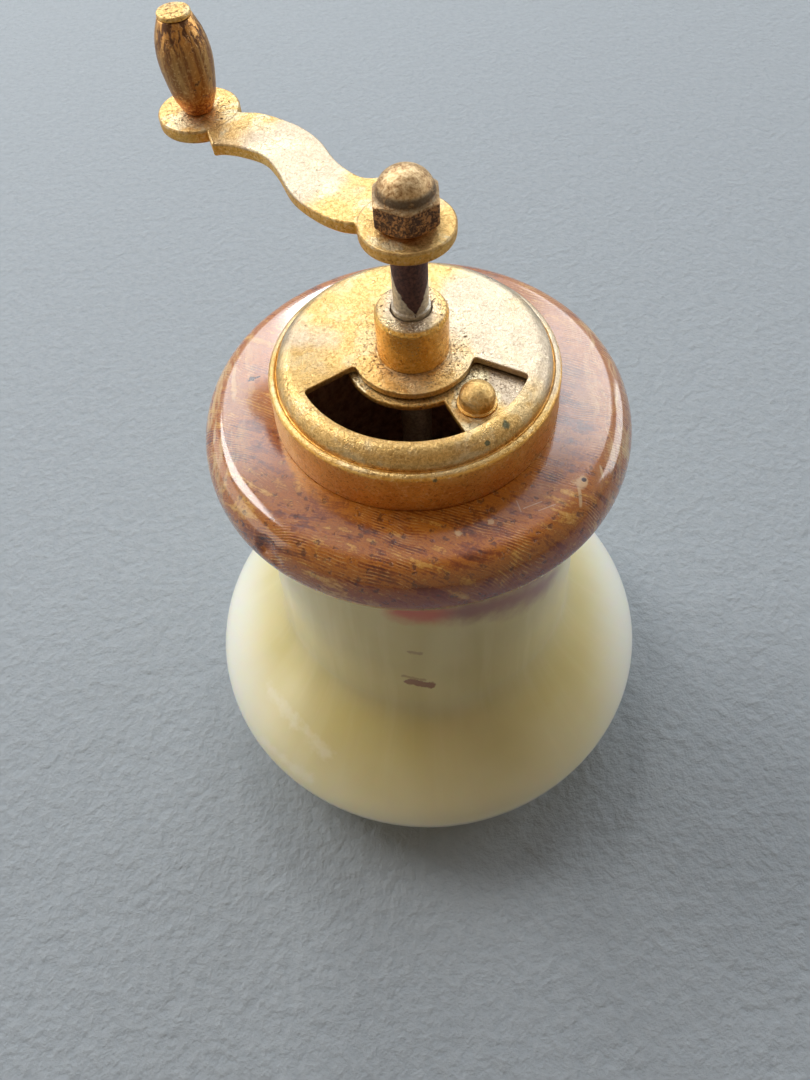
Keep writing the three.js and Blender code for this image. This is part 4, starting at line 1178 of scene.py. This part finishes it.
knob_place = tuple(knob_axis / MM)
arm_middle = tuple(knob_axis / MM / 2)
# On the cap, pale_at makes the top palest towards its right: partly worn plating, partly a painted highlight.
GILT_CAP = gilt("gilt_cap", (5.5, 12.0), cap_top / MM - 2.6, 0.35, spots=GREEN_SPOTS, seams=((0, 0, 5.35),),
                rough=0.33, pale_at=(14, 5, 20), patches=0.3)
GILT_CRANK = gilt("gilt_crank", (2.0, 8.0), top_of("crank_arm") / MM - 0.15, 0.3, knob_place,
                  seams=((0, 0, 6.0), (*knob_place, 5.6)), rough=0.42, pale_at=(*arm_middle, 14), patches=0.7)
GILT_COLLAR = gilt("gilt_collar", (2.0, 9.0), top_of("collar_bush") / MM - 0.05, rough=0.26)
GILT_SHUTTER = gilt("gilt_shutter", (10.0, 18.0), top_of("shutter_plate") / MM, 0.3, pale_at=(15, -5, 9),
                    patches=0.9)
GILT_PULL = gilt("gilt_pull", (4.0, 12.0), top_of("shutter_plate") / MM + 0.5, rough=0.34, pale_at=(0, 0, 3))
GILT_PIN = gilt("gilt_pin", (1.0, 4.0), top_of("knob_rivet") / MM - 0.2, centre=knob_place, rough=0.5)
KNOB_GOLD = knob_gold_and_painted_shade()
PALE = pale_onyx()
BROWN = brown_onyx()
NUT = worn_nut()
ROD_METAL = flaked_rod()
TIN = plain_metal("tin", (0.42, 0.24, 0.16), (0.76, 0.53, 0.4), 0.55, metallic=0.15)
STEEL = plain_metal("steel", (0.38, 0.38, 0.38), (0.62, 0.62, 0.62), 0.34)
IRON = plain_metal("burr_iron", (0.1, 0.095, 0.09), (0.24, 0.23, 0.22), 0.62, 0.8, 0.08)

dress(stone_body(), "base", "pale_stone", PALE, "stone_body")
dress(stone_flange(), "base", "brown_stone", BROWN, "stone_flange")
dress(cap_shell(), "base", "gilt", GILT_CAP, "cap_shell")
dress(collar_bush(), "base", "gilt", GILT_COLLAR, "collar_bush")
dress(shutter_plate(), "shutter", "shutter", GILT_SHUTTER, "shutter_plate")
dress(shutter_knob(), "shutter", "gilt", GILT_PULL, "shutter_knob")
dress(spindle(), "drive", "rod", ROD_METAL, "spindle")
dress(crank_arm(), "drive", "gilt", GILT_CRANK, "crank_arm")
dress(crank_knob(), "knob", "gilt", KNOB_GOLD, "crank_knob")
dress(knob_rivet(), "drive", "gilt", GILT_PIN, "knob_rivet")
dress(acorn_nut(), "drive", "nut", NUT, "acorn_nut")

coil = thrust_spring()
coil.data.materials.append(STEEL)
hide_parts("thrust_spring")

INNER = {
    TIN: ("hopper_tube", "burr_housing", "guide_spider"),
    IRON: ("cone_burr", "ring_burr"),
    STEEL: ("shutter_retainer", "burr_nut", "spring_washer", "bottom_plate", "plate_screw_1", "plate_screw_2",
            "adjuster_screw", "thrust_ball"),
}
for finish, nodes in INNER.items():
    for node in nodes:
        solid = frame["nodes"][node]
        solid.data.materials.clear()
        solid.data.materials.append(finish)


# Stage, lights and camera. The camera's reach is its distance from the cap's lip, and its focus is in the
# photograph's pixels.

FLOOR = 6.0
CAMERA_REACH = 120 * MM
CAMERA_RISE = radians(45.398)
CAMERA_PITCH = radians(57.805)
CAMERA_PAN = radians(-2.363)
CAMERA_ROLL = radians(-4.867)
CAMERA_SENSOR = 36
CAMERA_FOCUS = 811
PHOTO_HEIGHT = 1080
CAP_AIM = (0, 0, 0.09)
BODY_AIM = (0, 0, 0.04)


def floor():
    s = Shader("floor")
    fine = s.noise(2.2, 5, 0.6)
    tone = s.mix(s.step(fine, 0.3, 0.7), rgb(155, 163, 170), rgb(163, 170, 176))
    s.set(base_color=tone, roughness=0.75, normal=s.bump(s.plus(fine, s.noise(7, 4, 0.5, 0.6)), 0.6))
    corners = [(-FLOOR, -FLOOR, 0), (FLOOR, -FLOOR, 0), (FLOOR, FLOOR, 0), (-FLOOR, FLOOR, 0)]
    plane = mesh_object("floor", corners, [(0, 1, 2, 3)])
    plane.data.materials.append(s.material)


def softbox(name, place, aim, width, height, power, tint):
    light = bpy.data.lights.new(name, "AREA")
    light.shape = "RECTANGLE"
    light.size = width
    light.size_y = height
    light.energy = power
    light.color = tint
    lamp = linked(name, light)
    lamp.location = place
    lamp.rotation_euler = (Vector(aim) - Vector(place)).to_track_quat("-Z", "Y").to_euler()


def world():
    """Soft light all round: cool behind the mill, warm and dimmer in front of it and overhead there. The
    camera and reflections see a paler backdrop."""
    space = bpy.data.worlds.new("studio")
    space.use_nodes = True
    nodes = Nodes(space.node_tree)
    split = nodes.add("ShaderNodeSeparateXYZ")
    nodes.fill(split, nodes.add("ShaderNodeTexCoord").outputs["Generated"])
    behind = nodes.step(split.outputs["Y"], -0.2, 0.7)
    overhead = nodes.step(split.outputs["Z"], 0.55, 0.85)
    front = nodes.mix(overhead, (0.16, 0.11, 0.06), (0.1, 0.085, 0.07))
    light = nodes.mix(behind, front, (0.3, 0.33, 0.37))
    front = nodes.mix(overhead, (0.45, 0.34, 0.22), (0.24, 0.2, 0.16))
    backdrop = nodes.mix(behind, front, (0.56, 0.6, 0.64))
    path = nodes.add("ShaderNodeLightPath")
    rays = [path.outputs[name] for name in ("Is Camera Ray", "Is Glossy Ray", "Is Transmission Ray")]
    background = space.node_tree.nodes["Background"]
    nodes.put(background.inputs["Color"], nodes.mix(nodes.either(*rays), light, backdrop))
    bpy.context.scene.world = space


def camera():
    """The photograph's camera: placed from the cap's lip, with a slight turn and roll."""
    place = Vector((0, -CAMERA_REACH * cos(CAMERA_RISE), lip + CAMERA_REACH * sin(CAMERA_RISE)))
    level = Vector((cos(CAMERA_PAN), -sin(CAMERA_PAN), 0))
    forward = Vector((sin(CAMERA_PAN) * cos(CAMERA_PITCH),
                      cos(CAMERA_PAN) * cos(CAMERA_PITCH), -sin(CAMERA_PITCH)))
    above = level.cross(forward)
    right = cos(CAMERA_ROLL) * level + sin(CAMERA_ROLL) * above
    up = cos(CAMERA_ROLL) * above - sin(CAMERA_ROLL) * level
    data = bpy.data.cameras.new("camera")
    data.sensor_fit = "VERTICAL"
    data.sensor_height = CAMERA_SENSOR
    data.lens = CAMERA_SENSOR * CAMERA_FOCUS / PHOTO_HEIGHT
    data.clip_start = 5 * MM
    lens = linked("camera", data)
    turn = Matrix((right, up, -forward)).transposed()
    lens.matrix_world = Matrix.Translation(place) @ turn.to_4x4()
    bpy.context.scene.camera = lens


floor()
world()
softbox("window", (0, 0.83, 0.76), CAP_AIM, 1.35, 0.54, 2.0, (0.9, 0.96, 1.0))
softbox("pane_left", (-0.36, 0.78, 0.8), CAP_AIM, 0.36, 0.46, 1.5, (0.94, 0.97, 1.0))
softbox("pane_right", (0.36, 0.78, 0.8), CAP_AIM, 0.36, 0.46, 1.8, (0.94, 0.97, 1.0))
softbox("key", (-0.09, 0.8, 0.8), CAP_AIM, 0.16, 0.16, 1.7, (1.0, 0.98, 0.94))
softbox("left", (-0.62, 0.4, 0.82), BODY_AIM, 0.45, 0.45, 5.4, (1.0, 0.99, 0.97))
softbox("low_left", (-1.5, 0.1, 0.4), BODY_AIM, 1.7, 0.8, 5.5, (1.0, 0.98, 0.94))
softbox("low_right", (1.3, 0.6, 0.5), BODY_AIM, 0.9, 0.7, 7.0, (0.95, 0.98, 1.0))
camera()
bpy.context.scene.view_settings.view_transform = "Standard"
